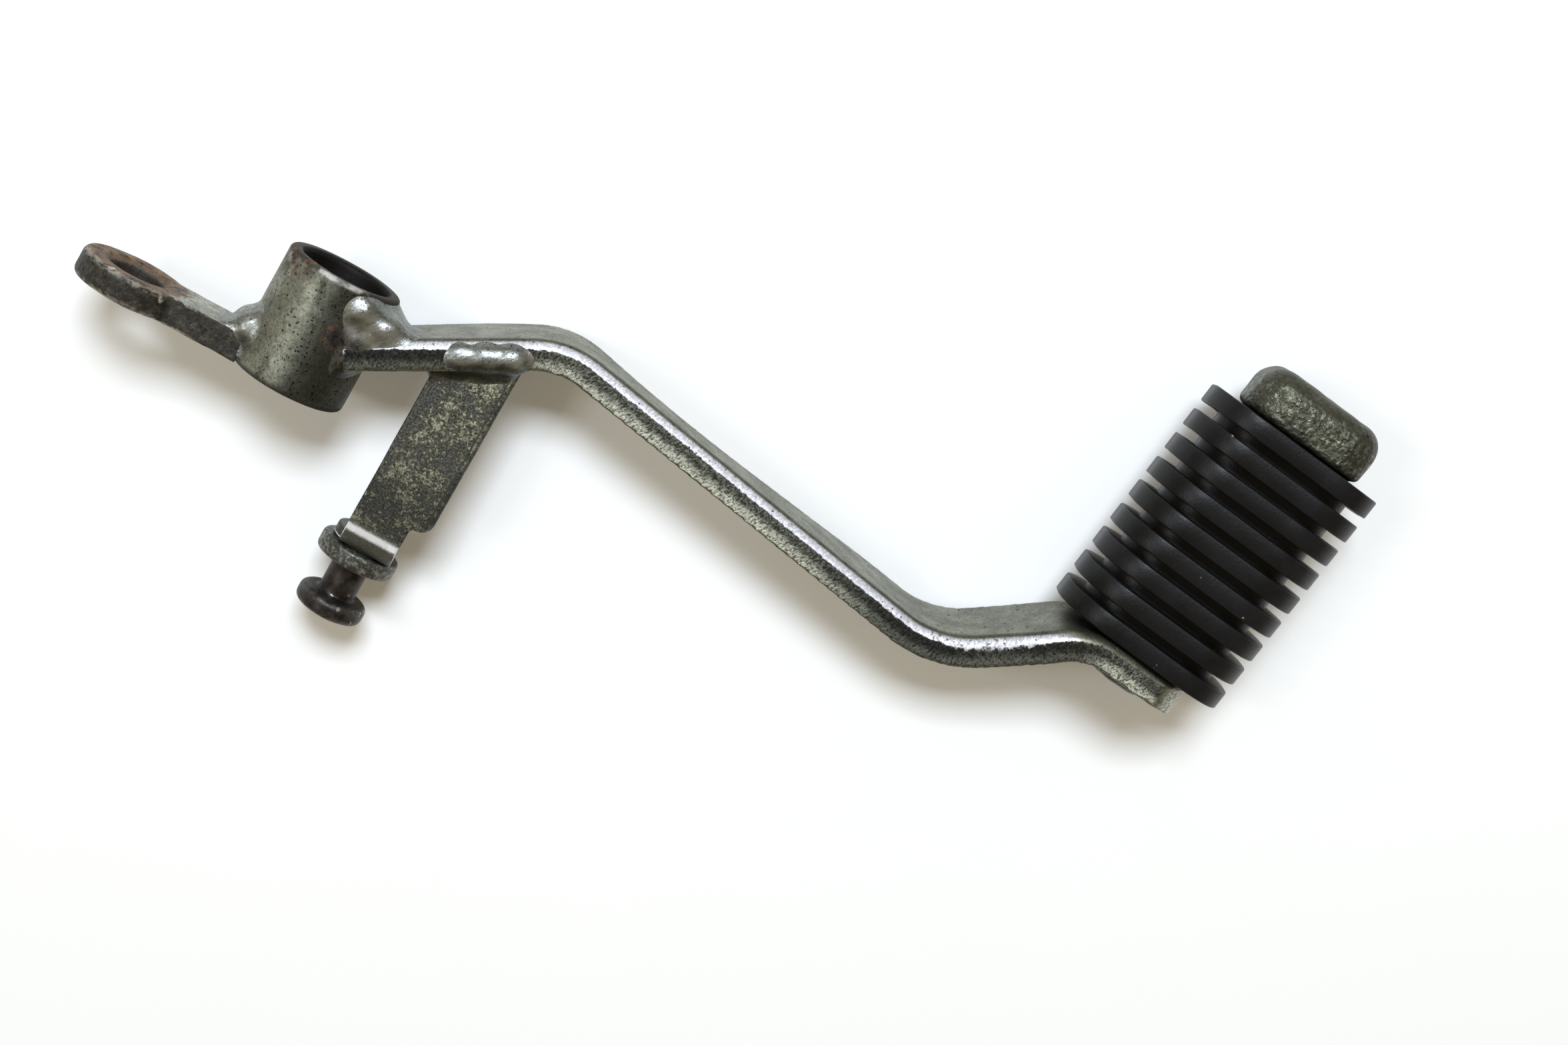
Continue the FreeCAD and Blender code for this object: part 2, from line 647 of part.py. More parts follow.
# Weld between the tube and the lever, around the root of the plate and up onto the tube.
LEVER_BEAD_X = "(%s - size.lever_weld_inset)" % TUBE_RADIUS
LEVER_BEAD_Y = "size.root_y + %s * tan(%s) + size.lever_weld_lean" % (LEVER_BEAD_X, FIRST_HEADING)
lever_pillow = weld_pillow(
    "lever_weld", "-(%s - size.lever_weld_drop)" % TUBE_RADIUS,
    "(2 * %s - size.lever_weld_drop + size.lever_weld_rise)" % TUBE_RADIUS,
    FreeCAD.Placement(Vector(value(LEVER_BEAD_X), value(LEVER_BEAD_Y), 0), Rotation()), True)
lever_bead = boolean("Cut", "lever_bead", lever_pillow, tube_room)
lever_weld = boolean("Cut", "lever_weld", lever_bead, pedal_lever)

# Weld between the tube and the rod arm, on the arm's outboard face and edges.
ARM_BEAD_X = "-(%s + size.arm_weld_outset)" % TUBE_RADIUS
ARM_BEAD_Y = "size.arm_thickness - size.tube_length / 2 - size.arm_weld_lean"
arm_pillow = weld_pillow(
    "arm_weld", "-(size.arm_height / 2 + size.arm_weld_rise)", "(size.arm_height + 2 * size.arm_weld_rise)",
    FreeCAD.Placement(Vector(value(ARM_BEAD_X), value(ARM_BEAD_Y), 0), Rotation()), True)
arm_bead = boolean("Cut", "arm_bead", arm_pillow, tube_room)
rod_arm_weld = boolean("Cut", "rod_arm_weld", arm_bead, rod_arm)

# Weld between the lever and the bracket, over the strip's end and the plate's top edge.
BEAD_X = "(size.strip_left_x + size.strip_width / 2)"
bead_shift = value("size.bracket_weld_width / 2 - size.bracket_weld_lap")
bracket_pillow = weld_pillow(
    "bracket_weld", "size.strip_top", "size.bracket_weld_height",
    FreeCAD.Placement(Vector(value(BEAD_X), value(lever_face(BEAD_X)), 0),
                      Rotation(value(FIRST_HEADING), 0, 0)).multiply(
        FreeCAD.Placement(Vector(0, bead_shift, 0), Rotation())), False)
bracket_weld = boolean("Cut", "bracket_weld", bracket_pillow, pedal_lever)

# Plug weld of the peg's spigot, a ring on the inboard face of the flange.
plug_ring = add("Part::Torus", "plug_ring", {
    "Radius1": "size.spigot_diameter / 2", "Radius2": "size.plug_weld_radius"})
plug_ring.Placement = pad_place.multiply(
    FreeCAD.Placement(Vector(0, -value("size.plate_thickness"), 0), Rotation(ALONG_X, 90)))
doc.recompute()
plug_bead = boolean("Cut", "plug_bead", plug_ring, pedal_lever)
peg_weld = boolean("Cut", "peg_weld", plug_bead, pad_peg)

PIECES = [pivot_tube, rod_arm, pedal_lever, spring_bracket, spring_post, pad_peg, pad_rubber,
          lever_weld, rod_arm_weld, bracket_weld, peg_weld]
doc.recompute()
for item in doc.Objects:
    assert "Invalid" not in item.State and "Error" not in item.State, item.Name
for piece in PIECES:
    assert not piece.Shape.isNull() and piece.Shape.isValid(), piece.Label
os.makedirs("parts", exist_ok=True)
for piece in PIECES:
    piece.Shape.exportStep(os.path.join("parts", piece.Label + ".step"))
    print(piece.Label, len(piece.Shape.Solids), round(piece.Shape.Volume, 1))
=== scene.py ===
import math
import bmesh
import bpy
import numpy as np
from mathutils import Matrix, Vector, noise


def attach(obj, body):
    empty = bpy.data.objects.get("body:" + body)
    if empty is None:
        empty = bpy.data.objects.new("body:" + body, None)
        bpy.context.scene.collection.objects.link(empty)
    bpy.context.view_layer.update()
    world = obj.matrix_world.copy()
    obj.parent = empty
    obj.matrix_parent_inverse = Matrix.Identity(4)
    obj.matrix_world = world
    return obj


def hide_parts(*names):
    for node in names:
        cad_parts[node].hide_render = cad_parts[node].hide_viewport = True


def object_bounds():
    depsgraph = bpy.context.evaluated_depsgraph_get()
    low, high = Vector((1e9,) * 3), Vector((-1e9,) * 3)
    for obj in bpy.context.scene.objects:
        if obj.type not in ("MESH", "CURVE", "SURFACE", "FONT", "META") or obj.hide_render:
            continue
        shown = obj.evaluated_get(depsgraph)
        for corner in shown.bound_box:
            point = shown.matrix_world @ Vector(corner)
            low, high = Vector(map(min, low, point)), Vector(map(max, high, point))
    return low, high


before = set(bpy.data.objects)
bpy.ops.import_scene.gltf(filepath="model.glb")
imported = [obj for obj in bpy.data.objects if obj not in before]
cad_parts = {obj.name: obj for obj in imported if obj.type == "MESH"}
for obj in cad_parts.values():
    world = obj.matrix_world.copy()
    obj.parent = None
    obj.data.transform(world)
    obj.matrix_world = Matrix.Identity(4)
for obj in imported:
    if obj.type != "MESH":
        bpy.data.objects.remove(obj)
cad_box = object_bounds()
MM = 0.001


# Pivot tube: the thick bush that turns on the pedal shaft, cut from drawn steel tube. It was plated
# with the rest after welding, and is now dull and pitted, rubbed at the rim, and rusty there and
# beside the lever's weld. The rubbed rim carries a painted highlight, both rims and the bore are painted
# darker as shade, and the side towards the lever carries a painted dark reflection.
SAME_POINT = 0.001 * MM


def new_piece(name, shell):
    """Makes an object of a finished bmesh and puts it in the scene."""
    mesh = bpy.data.meshes.new(name)
    shell.to_mesh(mesh)
    shell.free()
    piece = bpy.data.objects.new(name, mesh)
    bpy.context.collection.objects.link(piece)
    return piece


def even_skin(piece, voxel, rounds):
    """Remeshes a piece to even faces, smooths it and keeps the result as its mesh."""
    remesh = piece.modifiers.new("even_skin", "REMESH")
    remesh.mode = "VOXEL"
    remesh.voxel_size = voxel
    soften = piece.modifiers.new("worn_edges", "SMOOTH")
    soften.factor = 0.5
    soften.iterations = rounds
    seen = piece.evaluated_get(bpy.context.evaluated_depsgraph_get())
    mesh = bpy.data.meshes.new_from_object(seen)
    before = piece.data
    piece.modifiers.clear()
    piece.data = mesh
    bpy.data.meshes.remove(before)
    mesh.name = piece.name
    for face in mesh.polygons:
        face.use_smooth = True


def worn_copy(node, name, voxel, rounds):
    """A copy of a CAD node with an even skin and edges softened by wear."""
    shell = bmesh.new()
    shell.from_mesh(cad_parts[node].data)
    bmesh.ops.remove_doubles(shell, verts=shell.verts, dist=SAME_POINT)
    piece = new_piece(name, shell)
    even_skin(piece, voxel, rounds)
    return piece


def dent(piece, depth, pitch, seed):
    """Pushes the skin inwards by soft noise, as hammering, scale and knocks leave it."""
    shift = Vector((seed, 2 * seed, 3 * seed))
    outward = [vertex.normal.copy() for vertex in piece.data.vertices]
    for vertex, normal in zip(piece.data.vertices, outward):
        vertex.co -= normal * depth * (0.5 + 0.5 * noise.noise(vertex.co / pitch + shift))
    piece.data.update()


def dress(piece, node, finish):
    """Gives a piece its material and lets it stand for its CAD node."""
    piece.data.materials.clear()
    piece.data.materials.append(finish)
    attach(piece, "root")
    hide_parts(node)


def give(tree, socket, given):
    """Links another node's output to a socket, or sets a number or a colour on it."""
    if isinstance(given, bpy.types.NodeSocket):
        tree.links.new(given, socket)
    else:
        socket.default_value = given


def put(tree, kind, sockets=None, **settings):
    """Adds a shader node with its settings and gives its sockets their values."""
    node = tree.nodes.new("ShaderNode" + kind)
    for name, setting in settings.items():
        setattr(node, name, setting)
    for name, given in (sockets or {}).items():
        give(tree, node.inputs[name], given)
    return node


def maths(tree, operation, first, second=0.0):
    return put(tree, "Math", {0: first, 1: second}, operation=operation).outputs[0]


def plus(tree, first, second):
    return maths(tree, "ADD", first, second)


def minus(tree, first, second):
    return maths(tree, "SUBTRACT", first, second)


def times(tree, first, second):
    return maths(tree, "MULTIPLY", first, second)


def highest(tree, first, second):
    return maths(tree, "MAXIMUM", first, second)


def step(tree, given, low, high):
    """A soft step from 0 at low to 1 at high."""
    return put(tree, "MapRange", {"Value": given, "From Min": low, "From Max": high},
               interpolation_type="SMOOTHSTEP").outputs[0]


def between(tree, given, low, high):
    """A straight run of values from low to high as the given value goes from 0 to 1."""
    return put(tree, "MapRange", {"Value": given, "To Min": low, "To Max": high}).outputs[0]


def swing(tree, given, height):
    """A noise that swings about zero, over a height in all."""
    return times(tree, minus(tree, given, 0.5), height)


def blend(tree, mask, first, second, mode="MIX"):
    return put(tree, "Mix", {0: mask, 6: first, 7: second}, data_type="RGBA", blend_type=mode).outputs[2]


def grey(level):
    return (level, level, level, 1)


def shade(tree, colour, share):
    """A colour at a share of its light."""
    return blend(tree, 1.0, colour, grey(share), "MULTIPLY")


def cloud(tree, place, scale, detail=3.0, roughness=0.55):
    return put(tree, "TexNoise", {"Vector": place, "Scale": scale, "Detail": detail,
                                  "Roughness": roughness}).outputs["Fac"]


def stretch(tree, place, x, y, z):
    return put(tree, "Mapping", {"Vector": place, "Scale": (x, y, z)}).outputs[0]


def split(tree, vector):
    """The X, Y and Z of a vector, by name."""
    return put(tree, "SeparateXYZ", {"Vector": vector}).outputs


def distance(tree, place, centre):
    return put(tree, "VectorMath", {0: place, 1: centre}, operation="DISTANCE").outputs["Value"]


def spot(tree, place, centre, inner, outer):
    """A mask that is 1 inside a ball about a place on the piece and fades out of it."""
    return step(tree, distance(tree, place, [c * MM for c in centre]), outer * MM, inner * MM)


def new_group(name, inputs, outputs):
    """A shader node group: its tree, what it is given and what it puts out."""
    tree = bpy.data.node_groups.new(name, "ShaderNodeTree")
    for label, kind, given in inputs:
        socket = tree.interface.new_socket(label, in_out="INPUT", socket_type="NodeSocket" + kind)
        if given is not None:
            socket.default_value = given
    for label, kind in outputs:
        tree.interface.new_socket(label, in_out="OUTPUT", socket_type="NodeSocket" + kind)
    return tree, tree.nodes.new("NodeGroupInput").outputs, tree.nodes.new("NodeGroupOutput").inputs


def use(tree, group, sockets):
    """Places a node group in a material and returns what it puts out."""
    return put(tree, "Group", sockets, node_tree=group).outputs


def new_finish(name):
    """A new material: its node tree, its shader and the place on the piece."""
    material = bpy.data.materials.new(name)
    material.use_nodes = True
    tree = material.node_tree
    shader = tree.nodes["Principled BSDF"]
    place = put(tree, "TexCoord").outputs["Object"]
    return material, tree, shader, place


def feed(tree, shader, colour, roughness, metallic, height, depth):
    """Gives a finish's shader its changing values, with the height as a bump."""
    bump = put(tree, "Bump", {"Height": height, "Distance": depth, "Strength": 1.0}).outputs[0]
    changing = {"Base Color": colour, "Roughness": roughness, "Metallic": metallic, "Normal": bump}
    for name, given in changing.items():
        give(tree, shader.inputs[name], given)


# Pits: round holes eaten through the plating, some cells empty, each with its own size.
PIT_WOBBLE = 0.6 * MM
pits, given, result = new_group(
    "pits", [("Place", "Vector", None), ("Scale", "Float", 800.0), ("Share", "Float", 0.4),
             ("Size", "Float", 0.4)], [("Mask", "Float")])
ragged = put(pits, "TexNoise", {"Vector": given["Place"], "Scale": 2500.0, "Detail": 2.0}).outputs["Color"]
wobble = put(pits, "VectorMath", {0: ragged, 1: [PIT_WOBBLE] * 3}, operation="MULTIPLY").outputs[0]
ragged_place = put(pits, "VectorMath", {0: given["Place"], 1: wobble}, operation="ADD").outputs[0]
cells = put(pits, "TexVoronoi", {"Vector": ragged_place, "Scale": given["Scale"]})
chance = put(pits, "SeparateColor", {"Color": cells.outputs["Color"]}).outputs[0]
empty = minus(pits, 1.0, given["Share"])
grown = maths(pits, "DIVIDE", minus(pits, chance, empty), given["Share"])
radius = times(pits, highest(pits, grown, 0.0), given["Size"])
inside = minus(pits, radius, cells.outputs["Distance"])
pits.links.new(step(pits, inside, 0.0, 0.08), result["Mask"])

# Dull plating: a clouded grey green tone with a fine grain and pits of two sizes.
PIT_BLACK = (0.022, 0.019, 0.016, 1)
plating, given, result = new_group(
    "dull_plating", [("Place", "Vector", None), ("Tone", "Color", (0.36, 0.38, 0.35, 1)),
                     ("Pitting", "Float", 0.4), ("Gloss", "Float", 0.4)],
    [("Color", "Color"), ("Roughness", "Float"), ("Height", "Float")])
everywhere = given["Place"]
haze = cloud(plating, everywhere, 150.0, 6.0, 0.66)
grain = cloud(plating, everywhere, 1500.0, 4.0, 0.7)
dim_tone = shade(plating, given["Tone"], 0.70)
clear_tone = shade(plating, given["Tone"], 1.14)
tone = blend(plating, step(plating, haze, 0.36, 0.66), dim_tone, clear_tone)
tone = blend(plating, step(plating, grain, 0.35, 0.68), tone, shade(plating, tone, 0.55))
wide = use(plating, pits, {"Place": everywhere, "Scale": 850.0, "Share": given["Pitting"], "Size": 0.36})
fine = use(plating, pits, {"Place": everywhere, "Scale": 1800.0, "Share": given["Pitting"], "Size": 0.46})
patchy = step(plating, cloud(plating, everywhere, 260.0), 0.40, 0.60)
holes = highest(plating, times(plating, wide["Mask"], patchy), fine["Mask"])
uneven = plus(plating, given["Gloss"], between(plating, haze, 0.14, -0.14))
plating.links.new(blend(plating, times(plating, holes, 0.88), tone, PIT_BLACK), result["Color"])
plating.links.new(plus(plating, uneven, times(plating, holes, 0.35)), result["Roughness"])
plating.links.new(minus(plating, times(plating, grain, 0.45), holes), result["Height"])

# Rust: brown scale that goes from near black to orange in small flakes.
RUST_BLACK = (0.020, 0.014, 0.011, 1)
RUST_BROWN = (0.050, 0.026, 0.015, 1)
RUST_ORANGE = (0.22, 0.105, 0.045, 1)
rust, given, result = new_group(
    "rust", [("Place", "Vector", None)], [("Color", "Color"), ("Height", "Float")])
flakes = cloud(rust, given["Place"], 900.0, 5.0, 0.7)
stain = cloud(rust, given["Place"], 220.0)
brown = blend(rust, step(rust, stain, 0.35, 0.65), RUST_BROWN, RUST_ORANGE)
rust.links.new(blend(rust, step(rust, flakes, 0.40, 0.72), RUST_BLACK, brown), result["Color"])
rust.links.new(flakes, result["Height"])

# Rubbed edges: corners where the finish has been worn off, broken up along their run. The finishes paint
# them lighter, as wear and as painted edge highlights.
rubbed_lit_edges, given, result = new_group(
    "rubbed_lit_edges", [("Place", "Vector", None), ("Start", "Float", 0.51), ("Full", "Float", 0.55),
                     ("Scale", "Float", 700.0)], [("Mask", "Float")])
corner = put(rubbed_lit_edges, "NewGeometry").outputs["Pointiness"]
sharp = step(rubbed_lit_edges, corner, given["Start"], given["Full"])
broken = step(rubbed_lit_edges, cloud(rubbed_lit_edges, given["Place"], given["Scale"], 3.0, 0.5), 0.38, 0.58)
rubbed_lit_edges.links.new(times(rubbed_lit_edges, sharp, broken), result["Mask"])

# The finish of the tube. Each spot has a place, a full radius and an outer radius in millimetres.
TUBE_TONE = (0.335, 0.340, 0.270, 1)
RIM_SHADE = (0.050, 0.043, 0.037, 1)
BORE_SHADE = (0.022, 0.020, 0.019, 1)
UNDERCUT_SHADE = (0.010, 0.008, 0.007, 1)
BARE_RIM_HIGHLIGHT = (0.66, 0.64, 0.61, 1)
FRESH_NICK = (0.92, 0.92, 0.90, 1)
RUSTY_RIM = ((-9.0, 13.5, 8.5), 2.0, 8.5)
RUSTY_SIDE = ((5.4, 3.0, 12.2), 1.0, 4.6)
UNDERCUT = ((5.8, 2.2, 11.7), 1.0, 2.6)
RIM_HIGHLIGHT_SPOT = ((0.4, 14.0, 12.4), 4.6, 7.6)
NICKED_SIDE = ((3.0, -9.5, 12.6), 1.5, 4.0)
tube_finish, tree, shader, place = new_finish("tube_plating")
coat = use(tree, plating, {"Place": place, "Tone": TUBE_TONE, "Pitting": 0.52, "Gloss": 0.52})
scale = use(tree, rust, {"Place": place})
axes = split(tree, place)
rubbed_and_lit = use(tree, rubbed_lit_edges, {"Place": place, "Start": 0.505, "Full": 0.53, "Scale": 300.0})["Mask"]
drawn = cloud(tree, stretch(tree, place, 1.0, 0.3, 1.0), 320.0, 4.0, 0.6)
wavy = plus(tree, axes["X"], swing(tree, drawn, 7.0 * MM))
# Painted dark reflection: the tube's side towards the lever is painted darker.
painted_dark_side = times(tree, step(tree, wavy, -4.5 * MM, 3.0 * MM), step(tree, axes["Z"], -6.0 * MM, 3.0 * MM))
outer_rim = step(tree, axes["Y"], 12.7 * MM, 13.5 * MM)
inner_rim = step(tree, axes["Y"], -12.2 * MM, -13.4 * MM)
rims = highest(tree, outer_rim, inner_rim)
flat_place = put(tree, "CombineXYZ", {"X": axes["X"], "Z": axes["Z"]}).outputs[0]
off_axis = put(tree, "VectorMath", {0: flat_place}, operation="LENGTH").outputs["Value"]
in_bore = step(tree, off_axis, 10.9 * MM, 10.3 * MM)
rim_rust = times(tree, spot(tree, place, *RUSTY_RIM), step(tree, cloud(tree, place, 420.0), 0.36, 0.54))
side_rust = times(tree, spot(tree, place, *RUSTY_SIDE), step(tree, cloud(tree, place, 700.0), 0.34, 0.50))
rusty = highest(tree, rim_rust, side_rust)
colour = blend(tree, step(tree, drawn, 0.50, 0.72), coat["Color"], shade(tree, coat["Color"], 0.5))
# Painted dark reflection on the side towards the lever.
colour = blend(tree, times(tree, painted_dark_side, 0.88), colour, shade(tree, colour, 0.12))
# Painted shade: both rims are painted darker.
colour = blend(tree, times(tree, rims, 0.80), colour, RIM_SHADE)
# Painted shade inside the bore.
colour = blend(tree, in_bore, colour, BORE_SHADE)
colour = blend(tree, rusty, colour, scale["Color"])
# Painted shade: the undercut's pit is painted near black.
colour = blend(tree, spot(tree, place, *UNDERCUT), colour, UNDERCUT_SHADE)
# Painted highlight: the rubbed corner of the outer rim is painted light, as wear and as a highlight.
lit_rim = times(tree, rubbed_and_lit, spot(tree, place, *RIM_HIGHLIGHT_SPOT))
colour = blend(tree, times(tree, lit_rim, 0.85), colour, BARE_RIM_HIGHLIGHT)
long_place = stretch(tree, place, 1.0, 0.45, 1.0)
nicks = use(tree, pits, {"Place": long_place, "Scale": 900.0, "Share": 0.35, "Size": 0.22})["Mask"]
colour = blend(tree, times(tree, nicks, spot(tree, place, *NICKED_SIDE)), colour, FRESH_NICK)
rough = plus(tree, coat["Roughness"], times(tree, highest(tree, rusty, rims), 0.25))
metal = minus(tree, 0.85, times(tree, rusty, 0.7))
feed(tree, shader, colour, rough, metal, coat["Height"], 0.10 * MM)

tube = worn_copy("pivot_tube", "tube_skin", voxel=0.45 * MM, rounds=3)
dent(tube, depth=0.12 * MM, pitch=9 * MM, seed=3.1)
dress(tube, "pivot_tube", tube_finish)


# Pedal lever: one blanked steel plate, bent three times. The press left a round polished edge on
# the outboard side and a rough torn edge beside it; the plating is bright on the round edge only, and
# that edge also carries a painted highlight.
# Two attributes hold how far along the bent plate and how far across it each point is.
CORNERS = [Vector(c) * MM for c in ((0.0, -5.1), (48.7, 22.6), (151.8, 5.3), (179.1, 25.7), (206.0, 23.1))]
TANGENTS = [6.9 * MM, 10.0 * MM, 6.0 * MM]
BEND_STEPS = 8
lever = worn_copy("pedal_lever", "lever_skin", voxel=0.50 * MM, rounds=3)
plate_line = [CORNERS[0]]
for before, corner, after, reach in zip(CORNERS, CORNERS[1:], CORNERS[2:], TANGENTS):
    start = corner + (before - corner).normalized() * reach
    end = corner + (after - corner).normalized() * reach
    for count in range(BEND_STEPS + 1):
        part = count / BEND_STEPS
        plate_line.append((1 - part) ** 2 * start + 2 * part * (1 - part) * corner + part ** 2 * end)
plate_line.append(CORNERS[-1])

places = np.empty(3 * len(lever.data.vertices))
lever.data.vertices.foreach_get("co", places)
flat_places = places.reshape(-1, 3)[:, :2]
nearest = np.full(len(flat_places), np.inf)
along = np.zeros(len(flat_places))
across = np.zeros(len(flat_places))
run = 0.0
for start, end in zip(plate_line, plate_line[1:]):
    heading = np.array((end - start).normalized())
    length = (end - start).length
    from_start = flat_places - np.array(start)
    reach = np.clip(from_start @ heading, 0.0, length)
    gap = np.linalg.norm(from_start - np.outer(reach, heading), axis=1)
    side = heading[0] * from_start[:, 1] - heading[1] * from_start[:, 0]
    closer = gap < nearest
    nearest = np.where(closer, gap, nearest)
    along = np.where(closer, run + reach, along)
    across = np.where(closer, np.sign(side) * gap, across)
    run += length
for name, numbers in (("along", along), ("across", across)):
    lever.data.attributes.new(name, "FLOAT", "POINT").data.foreach_set("value", numbers.astype(np.float32))


def band(tree, given, rise, fall):
    """A mask that rises and falls again. Each slope is given by its place of 0 and its place of 1."""
    return times(tree, step(tree, given, *rise), step(tree, given, *fall))


def turned(tree, place, angle):
    return put(tree, "Mapping", {"Vector": place, "Rotation": (0.0, 0.0, angle)}).outputs[0]


def facing(tree, axis):
    """How far the skin faces along an axis, from -1 to 1."""
    return split(tree, put(tree, "TexCoord").outputs["Normal"])[axis]


LEVER_TONE = (0.206, 0.208, 0.148, 1)
TORN_BLACK, TORN_GREY = (0.020, 0.020, 0.016, 1), (0.16, 0.162, 0.128, 1)
BREAK_DARK, BREAK_PALE = (0.070, 0.071, 0.056, 1), (0.58, 0.585, 0.49, 1)
ROLL_HIGHLIGHT, ROLL_DIM_HIGHLIGHT = (0.84, 0.83, 0.90, 1), (0.42, 0.42, 0.445, 1)
ROLL_SPECK = (0.05, 0.043, 0.038, 1)
ROLL_RUST = (0.085, 0.050, 0.032, 1)
END_DARK, END_PALE = (0.22, 0.23, 0.205, 1), (0.72, 0.73, 0.68, 1)
HEEL_DARK = (0.014, 0.014, 0.0145, 1)
DARK_HEEL_SPOT = ((181.0, 30.0, 3.0), 3.0, 12.0)
lever_finish, tree, shader, place = new_finish("lever_plating")
coat = use(tree, plating, {"Place": place, "Tone": LEVER_TONE, "Pitting": 0.26, "Gloss": 0.42})
upward = facing(tree, "Z")
run_along = put(tree, "Attribute", {}, attribute_name="along").outputs["Fac"]
run_across = put(tree, "Attribute", {}, attribute_name="across").outputs["Fac"]
plate_place = put(tree, "CombineXYZ", {"X": run_along, "Y": run_across}).outputs[0]

ragged = swing(tree, cloud(tree, place, 900.0, 4.0, 0.7), 0.10)
torn = step(tree, plus(tree, maths(tree, "ABSOLUTE", upward), ragged), 0.945, 0.975)
before_flange = step(tree, run_along, 192.0 * MM, 184.0 * MM)
outboard = times(tree, step(tree, run_across, 0.0, 0.6 * MM), before_flange)
on_roll = times(tree, step(tree, plus(tree, upward, ragged), 0.46, 0.76), minus(tree, 1.0, torn))
# The round edge's band, where a highlight is painted over the worn plating.
polished_highlight = times(tree, on_roll, outboard)
shaded = times(tree, band(tree, upward, (0.04, 0.30), (0.78, 0.45)), outboard)
at_end = step(tree, run_along, 200.0 * MM, 206.0 * MM)
end_face = times(tree, step(tree, facing(tree, "X"), 0.30, 0.60), at_end)
rough_edge = highest(tree, torn, end_face)

streaks = cloud(tree, stretch(tree, turned(tree, plate_place, 0.5), 1.0, 0.36, 1.0), 2300.0, 4.0, 0.7)
flecks = cloud(tree, place, 1900.0, 4.0, 0.7)
speckle = plus(tree, times(tree, streaks, 0.6), times(tree, flecks, 0.4))
break_line = plus(tree, run_across, swing(tree, cloud(tree, plate_place, 330.0, 5.0, 0.65), 3.2 * MM))
fracture = step(tree, break_line, -0.1 * MM, -2.2 * MM)
sooty_end = band(tree, run_along, (118.0 * MM, 150.0 * MM), (201.0 * MM, 190.0 * MM))
soot = highest(tree, sooty_end, step(tree, run_along, 56.0 * MM, 44.0 * MM))
torn_dark = blend(tree, step(tree, speckle, 0.44, 0.60), TORN_BLACK, TORN_GREY)
torn_pale = blend(tree, step(tree, speckle, 0.40, 0.56), BREAK_DARK, BREAK_PALE)
torn_colour = blend(tree, fracture, torn_dark, torn_pale)
torn_colour = blend(tree, times(tree, soot, 0.86), torn_colour, shade(tree, torn_colour, 0.08))

# Painted highlight on the round edge: a light lavender band, dimmer in patches, with pits and rust specks.
roll_highlight = blend(tree, step(tree, cloud(tree, place, 700.0, 5.0, 0.7), 0.56, 0.70), ROLL_HIGHLIGHT, ROLL_DIM_HIGHLIGHT)
roll_highlight = blend(tree, step(tree, speckle, 0.46, 0.58), shade(tree, roll_highlight, 0.62), roll_highlight)
specks = use(tree, pits, {"Place": place, "Scale": 1500.0, "Share": 0.26, "Size": 0.40})["Mask"]
rusty_run = band(tree, run_along, (150.0 * MM, 160.0 * MM), (182.0 * MM, 172.0 * MM))
rust_specks = times(tree, rusty_run, step(tree, cloud(tree, place, 850.0, 5.0, 0.72), 0.52, 0.62))
roll_highlight = blend(tree, specks, roll_highlight, ROLL_SPECK)
roll_highlight = blend(tree, times(tree, rust_specks, 0.85), roll_highlight, ROLL_RUST)

colour = blend(tree, times(tree, shaded, 0.72), coat["Color"], shade(tree, coat["Color"], 0.25))
# Painted highlight over the round edge.
colour = blend(tree, polished_highlight, colour, roll_highlight)
colour = blend(tree, torn, colour, torn_colour)
colour = blend(tree, end_face, colour, blend(tree, step(tree, speckle, 0.42, 0.58), END_DARK, END_PALE))
# The plate is darker beside the rubber.
colour = blend(tree, times(tree, spot(tree, place, *DARK_HEEL_SPOT), 0.92), colour, HEEL_DARK)
rough = blend(tree, polished_highlight, coat["Roughness"], grey(0.44))
rough = blend(tree, rough_edge, rough, grey(0.50))
height = blend(tree, rough_edge, coat["Height"], times(tree, speckle, 3.0))
height = blend(tree, polished_highlight, height, minus(tree, times(tree, speckle, 1.6), specks))
metal = minus(tree, between(tree, torn, 0.82, 0.72), times(tree, polished_highlight, 0.42))
feed(tree, shader, colour, rough, metal, height, 0.10 * MM)
dent(lever, depth=0.10 * MM, pitch=14 * MM, seed=7.7)
dress(lever, "pedal_lever", lever_finish)


# Lever weld: a fat bead of electric weld around the plate's root, run up onto the tube and fused
# into both. It was plated over with the rest and has a rusty undercut at its toe, whose pit is painted
# near black as shade.
FUSED = 0.22
BORE_KEPT = 11.4
DRAFT_VOXEL = 0.45 * MM
BEAD_VOXEL = 0.40 * MM


def swell(piece, depth):
    """Moves the whole skin of a piece out along its normals, or in when the depth is negative."""
    outward = [vertex.normal.copy() for vertex in piece.data.vertices]
    for vertex, normal in zip(piece.data.vertices, outward):
        vertex.co += normal * depth
    piece.data.update()


def add_stump(shell, neighbour, box):
    """Adds what a box holds of a CAD node, with the cut ends closed."""
    stump = bmesh.new()
    stump.from_mesh(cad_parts[neighbour].data)
    bmesh.ops.remove_doubles(stump, verts=stump.verts, dist=SAME_POINT)
    for axis in range(3):
        for outward, corner in zip((-1.0, 1.0), box):
            normal = [0.0, 0.0, 0.0]
            normal[axis] = outward
            bmesh.ops.bisect_plane(stump, geom=stump.verts[:] + stump.edges[:] + stump.faces[:],
                                   plane_co=Vector(corner) * MM, plane_no=normal, clear_outer=True)
            bmesh.ops.holes_fill(stump, edges=[edge for edge in stump.edges if edge.is_boundary])
    stump_mesh = bpy.data.meshes.new("stump")
    stump.to_mesh(stump_mesh)
    stump.free()
    shell.from_mesh(stump_mesh)
    bpy.data.meshes.remove(stump_mesh)


